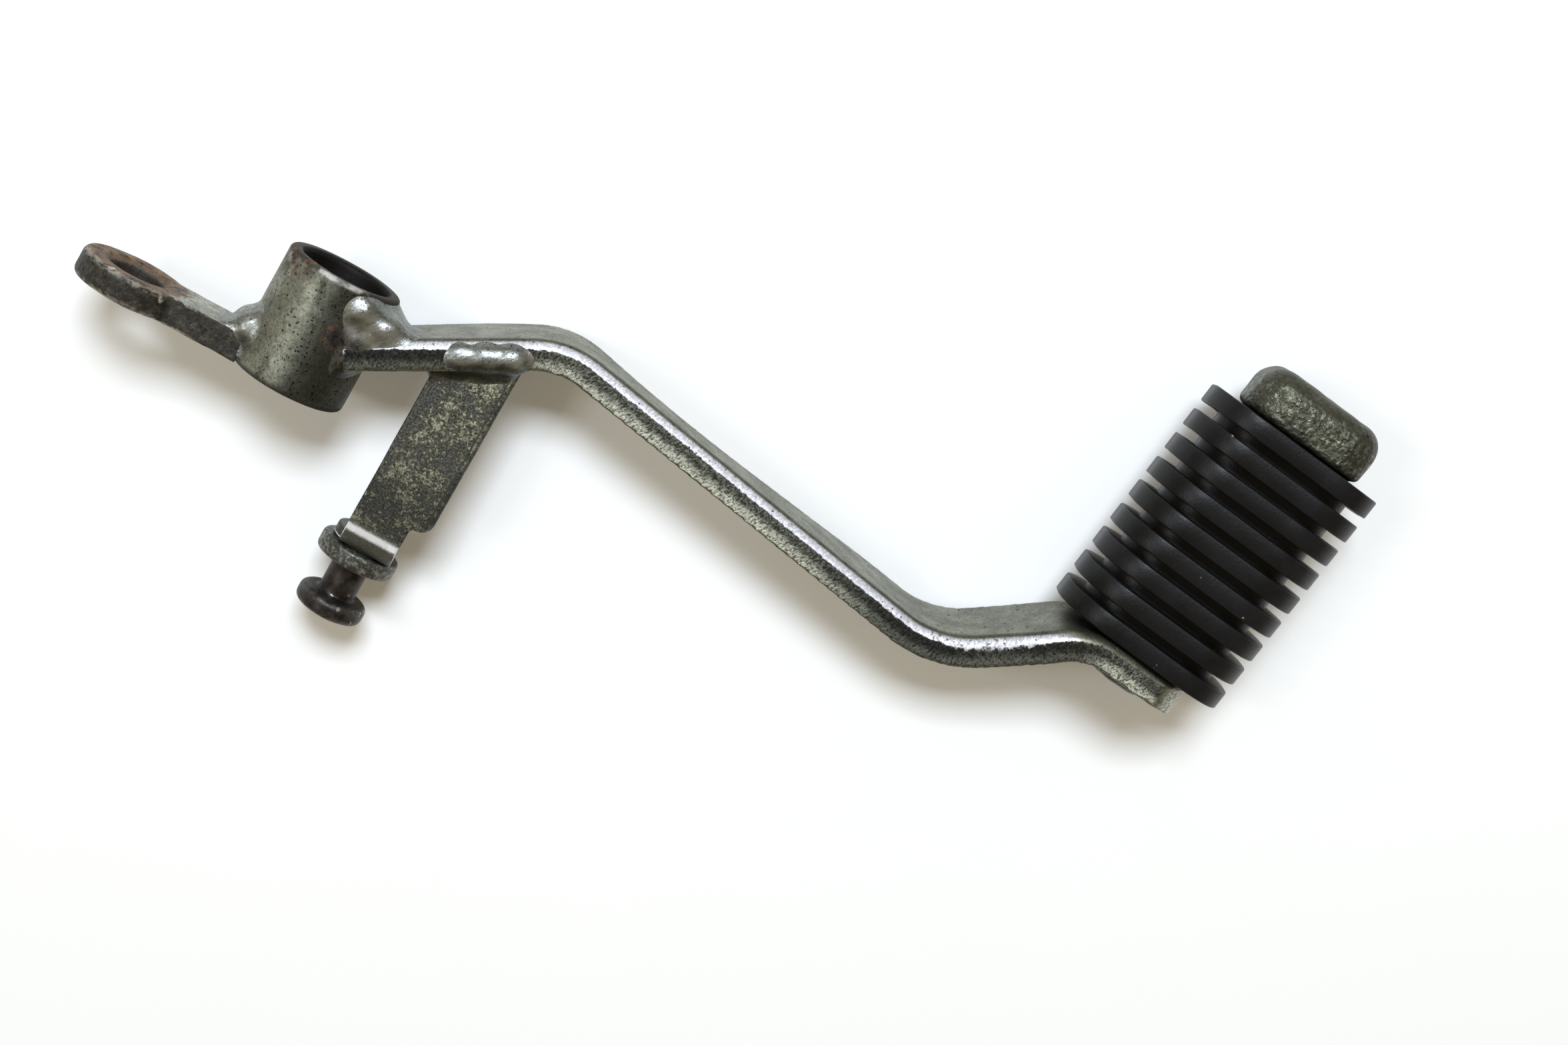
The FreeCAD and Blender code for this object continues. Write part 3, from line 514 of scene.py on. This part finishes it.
def weld_bead(name, neighbours, box, puddles, fillet):
    """A bead as one skin: the ends that it is fused to and its set puddles, swollen and shrunk again,
    so that each corner between them fills to the fillet's radius. The box is where the neighbours are
    cut off. A puddle has a place, half sizes and a turn in plan. What would reach into the bore is
    moved out into the tube's wall."""
    shell = bmesh.new()
    for neighbour in neighbours:
        add_stump(shell, neighbour, box)
    bmesh.ops.remove_doubles(shell, verts=shell.verts, dist=SAME_POINT)
    for centre, sizes, turn in puddles:
        spread = (Matrix.Translation(Vector(centre) * MM) @ Matrix.Rotation(math.radians(turn), 4, "Z")
                  @ Matrix.Diagonal((*(Vector(sizes) * MM), 1.0)))
        bmesh.ops.create_icosphere(shell, subdivisions=4, radius=1.0, matrix=spread)
    bead = new_piece(name, shell)
    even_skin(bead, DRAFT_VOXEL, rounds=4)
    swell(bead, fillet * MM)
    even_skin(bead, DRAFT_VOXEL, rounds=12)
    swell(bead, -(fillet + FUSED) * MM)
    even_skin(bead, BEAD_VOXEL, rounds=10)
    for vertex in bead.data.vertices:
        off_axis = math.hypot(vertex.co.x, vertex.co.z)
        if off_axis < BORE_KEPT * MM:
            vertex.co.x *= BORE_KEPT * MM / off_axis
            vertex.co.z *= BORE_KEPT * MM / off_axis
    bead.data.update()
    return bead


WELD_TONE = (0.29, 0.305, 0.28, 1)
WELD_LIT_TOP = (0.56, 0.565, 0.56, 1)
WELD_ROOT_DARK = (0.030, 0.029, 0.026, 1)
LEVER_ROOT = ((9.0, -1.0, 9.8), 4.0, 7.2)
ARM_ROOT = ((-10.4, -9.4, 5.8), 1.6, 4.2)
RUSTY_TOE = ((5.6, 3.1, 12.0), 0.9, 4.6)
weld_finish, tree, shader, place = new_finish("weld_plating")
coat = use(tree, plating, {"Place": place, "Tone": WELD_TONE, "Pitting": 0.34, "Gloss": 0.36})
scale = use(tree, rust, {"Place": place})
upward = facing(tree, "Z")
ripples = cloud(tree, stretch(tree, turned(tree, place, 0.6), 1.0, 0.4, 1.0), 520.0, 4.0, 0.6)
# Painted light: the weld's upward faces are painted lighter, broken by its ripples.
lit_top = times(tree, step(tree, upward, 0.70, 0.96), step(tree, ripples, 0.36, 0.60))
# Painted shade: the weld's steep sides, and those that face forwards away from the back window, are painted
# darker.
steep_shade = times(tree, step(tree, upward, 0.66, 0.25), 0.35)
shaded_sides = highest(tree, steep_shade, step(tree, facing(tree, "Y"), -0.06, -0.42))
roots = highest(tree, spot(tree, place, *LEVER_ROOT), spot(tree, place, *ARM_ROOT))
patchy = between(tree, step(tree, cloud(tree, place, 900.0, 5.0, 0.7), 0.40, 0.60), 0.55, 0.95)
toe_rust = times(tree, spot(tree, place, *RUSTY_TOE), step(tree, cloud(tree, place, 700.0), 0.34, 0.50))
# Painted light on the upward faces.
colour = blend(tree, times(tree, lit_top, 0.50), coat["Color"], WELD_LIT_TOP)
# Painted shade on the steep and forward sides.
colour = blend(tree, times(tree, shaded_sides, 0.85), colour, shade(tree, colour, 0.18))
# The weld is darker in patches at the roots of the lever and the arm.
colour = blend(tree, times(tree, roots, patchy), colour, WELD_ROOT_DARK)
colour = blend(tree, toe_rust, colour, scale["Color"])
# Painted shade: the undercut's pit is painted near black.
colour = blend(tree, spot(tree, place, *UNDERCUT), colour, UNDERCUT_SHADE)
rough = minus(tree, coat["Roughness"], times(tree, lit_top, 0.08))
rough = plus(tree, rough, times(tree, toe_rust, 0.35))
metal = minus(tree, 0.85, times(tree, toe_rust, 0.7))
height = plus(tree, coat["Height"], times(tree, ripples, 1.2))
feed(tree, shader, colour, rough, metal, height, 0.12 * MM)

LEVER_BEAD_BOX = ((2.0, -7.0, -13.4), (24.0, 14.2, 13.4))
LEVER_PUDDLES = [
    ((7.2, 9.6, 8.8), (4.8, 3.8, 3.9), 42),
    ((12.6, 8.0, 8.1), (5.4, 3.4, 3.5), 30),
    ((9.4, 3.8, 8.4), (4.6, 4.4, 3.3), 30),
    ((12.4, 9.0, 1.0), (4.0, 3.6, 9.0), 30)]
lever_weld = weld_bead("lever_bead", ["pivot_tube", "pedal_lever"], LEVER_BEAD_BOX, LEVER_PUDDLES, fillet=3.6)
dress(lever_weld, "lever_weld", weld_finish)


# Rod arm: a forged flat arm with an eye for the brake rod, coped to the tube. Its plating has
# worn off, so the eye is rusty where the rod end rubs and the edge is black with old grease. The
# wall of the eye's hole is painted near black as shade, and the rubbed corners round the eye are
# painted lighter, partly as a highlight.
EYE = (-38.0 * MM, -10.75 * MM, 2.0 * MM)
ARM_TONE = (0.38, 0.385, 0.315, 1)
GREASE_BLACK, GREASE_BROWN = (0.010, 0.008, 0.005, 1), (0.056, 0.043, 0.027, 1)
EYE_BROWN = (0.185, 0.105, 0.048, 1)
RUBBED_CORNER_HIGHLIGHT = (0.52, 0.46, 0.39, 1)
arm = worn_copy("rod_arm", "arm_skin", voxel=0.42 * MM, rounds=5)
dent(arm, depth=0.22 * MM, pitch=5 * MM, seed=5.3)
arm_finish, tree, shader, place = new_finish("rusty_arm")
coat = use(tree, plating, {"Place": place, "Tone": ARM_TONE, "Pitting": 0.5, "Gloss": 0.42})
scale = use(tree, rust, {"Place": place})
axes = split(tree, place)
off_face = step(tree, maths(tree, "ABSOLUTE", facing(tree, "Y")), 0.80, 0.50)
eye_place = put(tree, "CombineXYZ", {"X": axes["X"], "Y": EYE[1], "Z": axes["Z"]}).outputs[0]
eye_gap = distance(tree, eye_place, EYE)
ragged = cloud(tree, place, 480.0, 5.0, 0.65)
ring = step(tree, plus(tree, eye_gap, swing(tree, ragged, 6.0 * MM)), 12.8 * MM, 10.2 * MM)
shaded_hole = step(tree, eye_gap, 6.7 * MM, 6.1 * MM)
thin = step(tree, cloud(tree, place, 420.0, 6.0, 0.72), 0.34, 0.60)
grime = times(tree, off_face, between(tree, thin, 0.90, 1.0))
crumbly = step(tree, cloud(tree, place, 800.0, 5.0, 0.72), 0.48, 0.66)
crust = blend(tree, crumbly, GREASE_BLACK, GREASE_BROWN)
brown = blend(tree, step(tree, ragged, 0.38, 0.62), scale["Color"], EYE_BROWN)
edge_rust = times(tree, times(tree, ring, off_face), step(tree, ragged, 0.50, 0.64))
rubbed_and_lit = use(tree, rubbed_lit_edges, {"Place": place, "Start": 0.508, "Full": 0.535, "Scale": 700.0})["Mask"]
rubbed_and_lit = times(tree, rubbed_and_lit, band(tree, eye_gap, (7.4 * MM, 8.4 * MM), (21.0 * MM, 13.0 * MM)))
colour = blend(tree, times(tree, ring, between(tree, off_face, 1.0, 0.35)), coat["Color"], brown)
colour = blend(tree, grime, colour, crust)
colour = blend(tree, edge_rust, colour, scale["Color"])
# The rubbed corners round the eye are painted light, as wear and as a painted highlight.
colour = blend(tree, times(tree, rubbed_and_lit, 0.8), colour, RUBBED_CORNER_HIGHLIGHT)
# Painted shade: the wall of the eye's hole is painted near black.
colour = blend(tree, times(tree, shaded_hole, 0.75), colour, RUST_BLACK)
dull = highest(tree, ring, grime)
rough = plus(tree, coat["Roughness"], times(tree, dull, 0.16))
metal = minus(tree, 0.85, times(tree, dull, 0.60))
height = plus(tree, coat["Height"], times(tree, scale["Height"], times(tree, dull, 1.6)))
feed(tree, shader, colour, rough, metal, height, 0.16 * MM)
dress(arm, "rod_arm", arm_finish)

# Rod arm weld: a short bead in the corner between the arm's outboard face and the tube, lapped
# over the arm's top and bottom edges.
ARM_BEAD_BOX = ((-19.0, -13.4, -10.0), (-4.0, 1.5, 10.4))
ARM_PUDDLES = [
    ((-11.4, -6.0, 5.2), (4.6, 4.6, 3.9), -8),
    ((-12.8, -6.2, 0.0), (4.0, 4.2, 6.5), 0),
    ((-11.6, -6.2, -5.2), (4.4, 4.4, 3.7), 8)]
arm_weld = weld_bead("arm_bead", ["pivot_tube", "rod_arm"], ARM_BEAD_BOX, ARM_PUDDLES, fillet=2.2)
dress(arm_weld, "rod_arm_weld", weld_finish)


# Spring bracket: a strip cut from sheet with its end bent down into a round lip. The plating on
# it is eaten away in small spots all over, so it looks speckled, and it is dirtier towards the lip.
# Its cut sides and a groove line by its edge are painted dark as shade, and where the strip turns
# down into the lip it carries a painted highlight.
STRIP_PALE = (0.24, 0.243, 0.192, 1), (0.66, 0.662, 0.53, 1)
STRIP_EATEN = (0.022, 0.022, 0.020, 1), (0.115, 0.117, 0.105, 1)
LIP_DARK = (0.078, 0.080, 0.070, 1)
EDGE_SHADE = (0.030, 0.029, 0.026, 1)
BEND_HIGHLIGHT = (0.88, 0.885, 0.90, 1)
bracket = worn_copy("spring_bracket", "bracket_skin", voxel=0.38 * MM, rounds=4)
dent(bracket, depth=0.14 * MM, pitch=6 * MM, seed=2.3)
bracket_finish, tree, shader, place = new_finish("speckled_plating")
axes = split(tree, place)
eaten_cloud = cloud(tree, place, 1150.0, 7.0, 0.80)
drift = cloud(tree, place, 120.0, 4.0, 0.6)
grain = cloud(tree, place, 2600.0)
on_lip = step(tree, axes["Y"], -31.5 * MM, -33.5 * MM)
eaten = step(tree, plus(tree, eaten_cloud, between(tree, drift, -0.22, 0.24)), 0.42, 0.55)
eaten = times(tree, eaten, between(tree, on_lip, 1.0, 0.45))
dirty_end = step(tree, axes["Y"], -10.0 * MM, -26.0 * MM)
cut_side = step(tree, maths(tree, "ABSOLUTE", facing(tree, "X")), 0.35, 0.80)
shaded_groove = band(tree, axes["X"], (41.0 * MM, 41.3 * MM), (41.9 * MM, 41.5 * MM))
shaded_groove = times(tree, shaded_groove, step(tree, axes["Y"], -29.0 * MM, -27.5 * MM))
tipped = plus(tree, facing(tree, "Y"), between(tree, eaten_cloud, -0.08, 0.08))
bend_highlight = times(tree, band(tree, tipped, (-0.42, -0.26), (-0.02, -0.16)), on_lip)
pale = blend(tree, step(tree, grain, 0.35, 0.65), *STRIP_PALE)
dark = blend(tree, step(tree, grain, 0.35, 0.68), *STRIP_EATEN)
colour = blend(tree, eaten, pale, dark)
colour = blend(tree, times(tree, dirty_end, 0.60), colour, shade(tree, colour, 0.35))
colour = blend(tree, times(tree, on_lip, 0.72), colour, LIP_DARK)
# Painted shade: the cut sides and the groove line by the strip's edge are painted dark.
colour = blend(tree, times(tree, highest(tree, cut_side, shaded_groove), 0.82), colour, EDGE_SHADE)
# Painted highlight where the strip turns down into the lip.
colour = blend(tree, bend_highlight, colour, BEND_HIGHLIGHT)
rough = blend(tree, eaten, grey(0.36), grey(0.60))
rough = blend(tree, bend_highlight, rough, grey(0.30))
metal = minus(tree, between(tree, eaten, 0.80, 0.55), times(tree, bend_highlight, 0.5))
height = minus(tree, times(tree, grain, 0.4), highest(tree, eaten, shaded_groove))
feed(tree, shader, colour, rough, metal, height, 0.10 * MM)
dress(bracket, "spring_bracket", bracket_finish)

# Bracket weld: a smooth pillow of weld, as long as the strip is wide, over the strip's end and
# the plate's top edge.
BRACKET_BEAD_BOX = ((23.5, 2.5, -1.0), (46.0, 22.5, 13.0))
BRACKET_PUDDLES = [
    ((29.6, 11.2, 6.8), (5.0, 4.0, 3.9), 27),
    ((34.4, 13.6, 6.7), (5.4, 4.1, 4.0), 27),
    ((39.2, 16.0, 6.6), (5.0, 4.0, 3.9), 27)]
bracket_weld = weld_bead("bracket_bead", ["pedal_lever", "spring_bracket"], BRACKET_BEAD_BOX,
                         BRACKET_PUDDLES, fillet=1.5)
dress(bracket_weld, "bracket_weld", weld_finish)


# Spring post: a turned rivet with a spool head and a collar, upset behind the lip. Oil has blackened
# it, the spring has rubbed the rim of its head, and the collar still has some speckled plating. The
# rubbed rim is painted lighter, partly as a highlight.
OIL_BLACK, OIL_BROWN = (0.012, 0.0105, 0.0098, 1), (0.048, 0.040, 0.036, 1)
RUBBED_HEAD_HIGHLIGHT = (0.30, 0.285, 0.26, 1)
COLLAR_DARK, COLLAR_PALE = (0.060, 0.060, 0.054, 1), (0.26, 0.262, 0.225, 1)
post = worn_copy("spring_post", "post_skin", voxel=0.30 * MM, rounds=5)
dent(post, depth=0.12 * MM, pitch=4 * MM, seed=9.4)
post_finish, tree, shader, place = new_finish("oily_post")
scale = use(tree, rust, {"Place": place})
oil = cloud(tree, place, 420.0, 4.0)
rusty = step(tree, cloud(tree, place, 250.0), 0.52, 0.66)
rubbed_lit_rim = use(tree, rubbed_lit_edges, {"Place": place, "Start": 0.505, "Full": 0.545, "Scale": 800.0})["Mask"]
on_collar = step(tree, split(tree, place)["Y"], -44.6 * MM, -43.5 * MM)
plated = times(tree, on_collar, step(tree, cloud(tree, place, 900.0, 6.0, 0.74), 0.44, 0.66))
colour = blend(tree, step(tree, oil, 0.36, 0.66), OIL_BLACK, OIL_BROWN)
colour = blend(tree, times(tree, rusty, 0.6), colour, scale["Color"])
# Painted highlight on the rubbed rim of the head.
colour = blend(tree, rubbed_lit_rim, colour, RUBBED_HEAD_HIGHLIGHT)
colour = blend(tree, times(tree, on_collar, 0.7), colour, COLLAR_DARK)
colour = blend(tree, plated, colour, COLLAR_PALE)
rough = minus(tree, between(tree, oil, 0.34, 0.58), times(tree, rubbed_lit_rim, 0.08))
height = plus(tree, oil, times(tree, scale["Height"], 0.5))
feed(tree, shader, colour, rough, 0.65, height, 0.10 * MM)
dress(post, "spring_post", post_finish)


# Pad peg: a forged core with an outer cap, set in the flange by a spigot and welded behind it.
# The cap kept its rough forged skin between smooth rubbed edges; the grains of that skin carry painted
# glints.
PAD_FOOT = Vector((191.6, 28.01, -0.5)) * MM
PAD_TURN = math.radians(-5.5)
PAD_TILT = math.radians(-6.0)
PAD_PLACE = (Matrix.Translation(PAD_FOOT) @ Matrix.Rotation(PAD_TURN, 4, "Z")
             @ Matrix.Rotation(PAD_TILT, 4, "Y"))
CAP_TONE = (0.114, 0.115, 0.083, 1)
CAP_GLINT = (0.28, 0.28, 0.225, 1)
CAP_STAIN = (0.075, 0.062, 0.048, 1)
peg = worn_copy("pad_peg", "peg_skin", voxel=0.50 * MM, rounds=6)
dent(peg, depth=0.30 * MM, pitch=3.2 * MM, seed=4.2)
peg_finish, tree, shader, place = new_finish("forged_peg")
coat = use(tree, plating, {"Place": place, "Tone": CAP_TONE, "Pitting": 0.08, "Gloss": 0.38})
on_peg = put(tree, "Mapping", {"Vector": place, "Location": -PAD_PLACE.translation}).outputs[0]
peg_axis = PAD_PLACE.col[1].xyz
along_peg = put(tree, "VectorMath", {0: on_peg, 1: peg_axis}, operation="DOT_PRODUCT").outputs["Value"]
scabs = cloud(tree, place, 820.0, 4.0, 0.62)
knobs = put(tree, "TexVoronoi", {"Vector": place, "Scale": 900.0}, feature="SMOOTH_F1").outputs["Distance"]
rough_band = step(tree, along_peg, 67.4 * MM, 64.6 * MM)
lit = times(tree, step(tree, scabs, 0.50, 0.64), between(tree, rough_band, 0.25, 1.0))
stain = step(tree, cloud(tree, place, 180.0), 0.55, 0.72)
# Painted glints on the grains of the forged band.
colour = blend(tree, times(tree, lit, 0.45), shade(tree, coat["Color"], 0.85), CAP_GLINT)
colour = blend(tree, times(tree, stain, 0.45), colour, CAP_STAIN)
rough = plus(tree, coat["Roughness"], between(tree, lit, 0.06, -0.08))
height = plus(tree, times(tree, scabs, 1.6), times(tree, knobs, -1.2))
height = times(tree, height, between(tree, rough_band, 0.30, 1.0))
feed(tree, shader, colour, rough, 0.82, height, 0.30 * MM)
dress(peg, "pad_peg", peg_finish)

# Peg weld: the ring of weld metal that holds the spigot at the back of the flange, laid by hand and
# plated over with the rest.
peg_weld = worn_copy("peg_weld", "peg_bead", voxel=0.30 * MM, rounds=6)
dent(peg_weld, depth=0.25 * MM, pitch=2.4 * MM, seed=6.6)
dress(peg_weld, "peg_weld", weld_finish)


# Pad rubber: one black moulded sleeve with ribs around it, pushed over the core up to the cap.
# The ribs have small round edges, stand a little unevenly and carry dust on their corners. Each ring
# of the sleeve is a rounded box, as wide and as high as its pair of sizes says, in millimetres.
RIB_COUNT = 9
RIB_PITCH = 6.65
RIB_THICKNESS = 4.4
FLANGE_GAP = 0.15
RIB = (43.8, 28.8)
WALL = (34.6, 19.6)
HOLLOW = (27.4, 14.4)
RIB_CORNER = 12.4
CORNER_STEPS = 12
SIDE_CUTS = 14
EDGE = 0.36

# A rib's flank: how far each ring stands in from the rib's face and how much smaller it is.
RIB_FLANK = [
    (0.0, RIB[0] - WALL[0]), (0.0, 2 * EDGE), (0.15 * EDGE, EDGE), (0.5 * EDGE, 0.3 * EDGE), (EDGE, 0.0)]
UPRIGHT = Matrix.Rotation(math.radians(90), 4, "X")
shell = bmesh.new()
bmesh.ops.create_grid(shell, x_segments=1, y_segments=1, size=0.5, matrix=UPRIGHT)
bmesh.ops.scale(shell, vec=(RIB[0] * MM, 1.0, RIB[1] * MM), verts=shell.verts)
bmesh.ops.bevel(shell, geom=shell.verts[:], offset=RIB_CORNER * MM, offset_type="OFFSET",
                segments=CORNER_STEPS, profile=0.5, affect="VERTICES", material=-1)
bmesh.ops.delete(shell, geom=shell.faces[:], context="FACES_ONLY")
long_sides = [edge for edge in shell.edges if edge.calc_length() > 3 * MM]
bmesh.ops.subdivide_edges(shell, edges=long_sides, cuts=SIDE_CUTS)

# The rings in order, from the hollow's foot over every rib to the hollow's far end.
stations = [(FLANGE_GAP, HOLLOW), (FLANGE_GAP, WALL)]
for index in range(RIB_COUNT):
    low = FLANGE_GAP + index * RIB_PITCH
    high = low + RIB_THICKNESS
    near_flank = [(low + rise, inset) for rise, inset in RIB_FLANK]
    far_flank = [(high - rise, inset) for rise, inset in reversed(RIB_FLANK)]
    stations += [(place_y, (RIB[0] - inset, RIB[1] - inset)) for place_y, inset in near_flank + far_flank]
stations.append((stations[-1][0], HOLLOW))
ring = shell.edges[:]
first_ring = ring
size = RIB
last_y = 0.0
for number, (place_y, wanted) in enumerate(stations):
    if number:
        grown = bmesh.ops.extrude_edge_only(shell, edges=ring)["geom"]
        ring = [item for item in grown if isinstance(item, bmesh.types.BMEdge)]
    corners = list({corner for edge in ring for corner in edge.verts})
    bmesh.ops.scale(shell, vec=(wanted[0] / size[0], 1.0, wanted[1] / size[1]), verts=corners)
    bmesh.ops.translate(shell, vec=(0.0, (place_y - last_y) * MM, 0.0), verts=corners)
    size = wanted
    last_y = place_y
bmesh.ops.bridge_loops(shell, edges=first_ring + ring)
bmesh.ops.remove_doubles(shell, verts=shell.verts, dist=SAME_POINT)
bmesh.ops.recalc_face_normals(shell, faces=shell.faces)

# The ribs lean: each a little by noise, and below their tops more and more towards the cap.
RIB_TWIST = 0.010
RIB_WAVE = 0.006
WAVE_PITCH = 26 * MM
TWIST_ROOT = 0.6
RIB_LEAN = 0.05
LEAN_TOP = 2.0 * MM
LEAN_ROOT = 0.7
for corner in shell.verts:
    out = max(abs(corner.co.x) / (RIB[0] * MM / 2), abs(corner.co.z) / (RIB[1] * MM / 2))
    rib = min(max((corner.co.y / MM - FLANGE_GAP - RIB_THICKNESS / 2) / RIB_PITCH, 0.0), RIB_COUNT - 1)
    number = round(rib)
    twist = noise.noise(Vector((number * 3.7, 1.3, 0.4))) * RIB_TWIST
    wave = noise.noise(corner.co / WAVE_PITCH + Vector((number * 5.1, 0, 0))) * RIB_WAVE
    if 0 < number < RIB_COUNT - 1:
        corner.co.y += (twist + wave) * corner.co.x * max(out - TWIST_ROOT, 0.0) / (1.0 - TWIST_ROOT)
    lean = RIB_LEAN * rib / (RIB_COUNT - 1) * max(out - LEAN_ROOT, 0.0) / (1.0 - LEAN_ROOT)
    corner.co.y += lean * min(corner.co.z - LEAN_TOP, 0.0)
shell.transform(PAD_PLACE)
for face in shell.faces:
    face.smooth = True
rubber = new_piece("rubber_skin", shell)
rubber.data.set_sharp_from_angle(angle=math.radians(50))

RUBBER_BLACK, RUBBER_BLOOM = (0.0040, 0.0040, 0.0043, 1), (0.0085, 0.0085, 0.0098, 1)
RUBBER_SCUFF = (0.028, 0.027, 0.027, 1)
RUBBER_EDGE_HIGHLIGHT = (0.085, 0.084, 0.082, 1)
DUST = (0.24, 0.21, 0.16, 1)
rubber_finish, tree, shader, place = new_finish("black_rubber")
bloom = cloud(tree, place, 70.0)
skin = cloud(tree, place, 1400.0, 4.0, 0.6)
scuffs = step(tree, cloud(tree, stretch(tree, place, 1.0, 0.25, 1.0), 900.0, 4.0, 0.7), 0.60, 0.78)
rubbed_and_lit = use(tree, rubbed_lit_edges, {"Place": place, "Start": 0.53, "Full": 0.60, "Scale": 420.0})["Mask"]
crumbs = use(tree, pits, {"Place": place, "Scale": 480.0, "Share": 0.16, "Size": 0.20})["Mask"]
dusty = times(tree, crumbs, step(tree, cloud(tree, place, 160.0), 0.44, 0.58))
colour = blend(tree, step(tree, bloom, 0.38, 0.66), RUBBER_BLACK, RUBBER_BLOOM)
colour = blend(tree, times(tree, scuffs, 0.4), colour, RUBBER_SCUFF)
# The rib edges are painted lighter, as rubbing and as a painted edge highlight.
colour = blend(tree, times(tree, rubbed_and_lit, 0.36), colour, RUBBER_EDGE_HIGHLIGHT)
colour = blend(tree, dusty, colour, DUST)
rough = plus(tree, between(tree, bloom, 0.40, 0.28), between(tree, skin, -0.04, 0.10))
shader.inputs["Specular IOR Level"].default_value = 0.22
feed(tree, shader, colour, rough, 0.0, plus(tree, skin, dusty), 0.05 * MM)
dress(rubber, "pad_rubber", rubber_finish)


# Floor: a plain white sheet under the pedal, which takes its soft shadow. Far from the pedal it turns
# to an even white, so that no dark edge shows from low angles.
STAGE_MIDDLE = Vector((0.08, 0.02, 0.0))
FLOOR_SIZE = 40.0
FLOOR_GAP = 0.02 * MM
PAPER_DIM, PAPER_CLEAR = (0.945, 0.94, 0.93, 1), (0.955, 0.95, 0.94, 1)
NEAR_GLOW = 0.09
FLOOR_KEPT = ((80.0, 20.0, 0.0), 600.0, 1500.0)
sheet = bmesh.new()
floor_place = Matrix.Translation(STAGE_MIDDLE + Vector((0.0, 0.0, cad_box[0][2] - FLOOR_GAP)))
bmesh.ops.create_grid(sheet, x_segments=1, y_segments=1, size=FLOOR_SIZE, matrix=floor_place)
floor = new_piece("floor", sheet)
paper, tree, shader, place = new_finish("white_paper")
shader.inputs["Roughness"].default_value = 0.9
shader.inputs["Specular IOR Level"].default_value = 0.1
give(tree, shader.inputs["Base Color"], blend(tree, cloud(tree, place, 30.0), PAPER_DIM, PAPER_CLEAR))
path = put(tree, "LightPath").outputs
seen = highest(tree, path["Is Camera Ray"], path["Is Glossy Ray"])
seen = highest(tree, seen, path["Is Transmission Ray"])
plain_white = put(tree, "Emission", {"Color": grey(1.0), "Strength": 1.0}).outputs[0]
glow = times(tree, seen, between(tree, spot(tree, place, *FLOOR_KEPT), 1.0, NEAR_GLOW))
mixed = put(tree, "MixShader", {0: glow, 1: shader.outputs[0], 2: plain_white}).outputs[0]
give(tree, tree.nodes["Material Output"].inputs["Surface"], mixed)
floor.data.materials.append(paper)


# Light: one soft window behind the pedal, a weaker one on its left and a warm dim room.
def window(name, aim, size, power, colour):
    lamp = bpy.data.lights.new(name, "AREA")
    lamp.shape = "RECTANGLE"
    lamp.size, lamp.size_y = size
    lamp.energy = power
    lamp.color = colour
    holder = bpy.data.objects.new(name, lamp)
    bpy.context.collection.objects.link(holder)
    holder.location = STAGE_MIDDLE + Vector(aim)
    holder.rotation_euler = (-Vector(aim)).to_track_quat("-Z", "Y").to_euler()


window("back_window", aim=(-0.30, 0.90, 1.55), size=(0.64, 0.46), power=32.0, colour=(0.90, 1.0, 1.12))
window("left_window", aim=(-0.92, -0.14, 1.40), size=(0.4, 0.4), power=4.6, colour=(0.96, 1.0, 1.04))
world = bpy.data.worlds.new("room")
world.use_nodes = True
room = world.node_tree.nodes["Background"]
room.inputs["Color"].default_value = (1.0, 0.80, 0.42, 1)
room.inputs["Strength"].default_value = 0.27
scene = bpy.context.scene
scene.world = world
scene.view_settings.view_transform = "Standard"


# Camera: above the pedal and a little to its outboard side, as the photo was taken. The focal length
# and the width of the photo are in the photo's pixels.
SENSOR_WIDTH = 36.0
FOCAL_LENGTH = 3300.0
PHOTO_WIDTH = 2352.0
EYE_POINT = (0.04218, 0.09672, 0.47353)
RIGHT = (0.86091, 0.50777, 0.03166)
UP = (-0.48993, 0.84422, -0.21739)
BACK = (-0.13711, 0.17164, 0.97557)
camera = bpy.data.cameras.new("camera")
camera.sensor_fit = "HORIZONTAL"
camera.sensor_width = SENSOR_WIDTH
camera.lens = SENSOR_WIDTH * FOCAL_LENGTH / PHOTO_WIDTH
camera.clip_start = 0.01
viewer = bpy.data.objects.new("camera", camera)
bpy.context.collection.objects.link(viewer)
viewer.matrix_world = Matrix.Translation(EYE_POINT) @ Matrix((RIGHT, UP, BACK)).transposed().to_4x4()
scene.camera = viewer
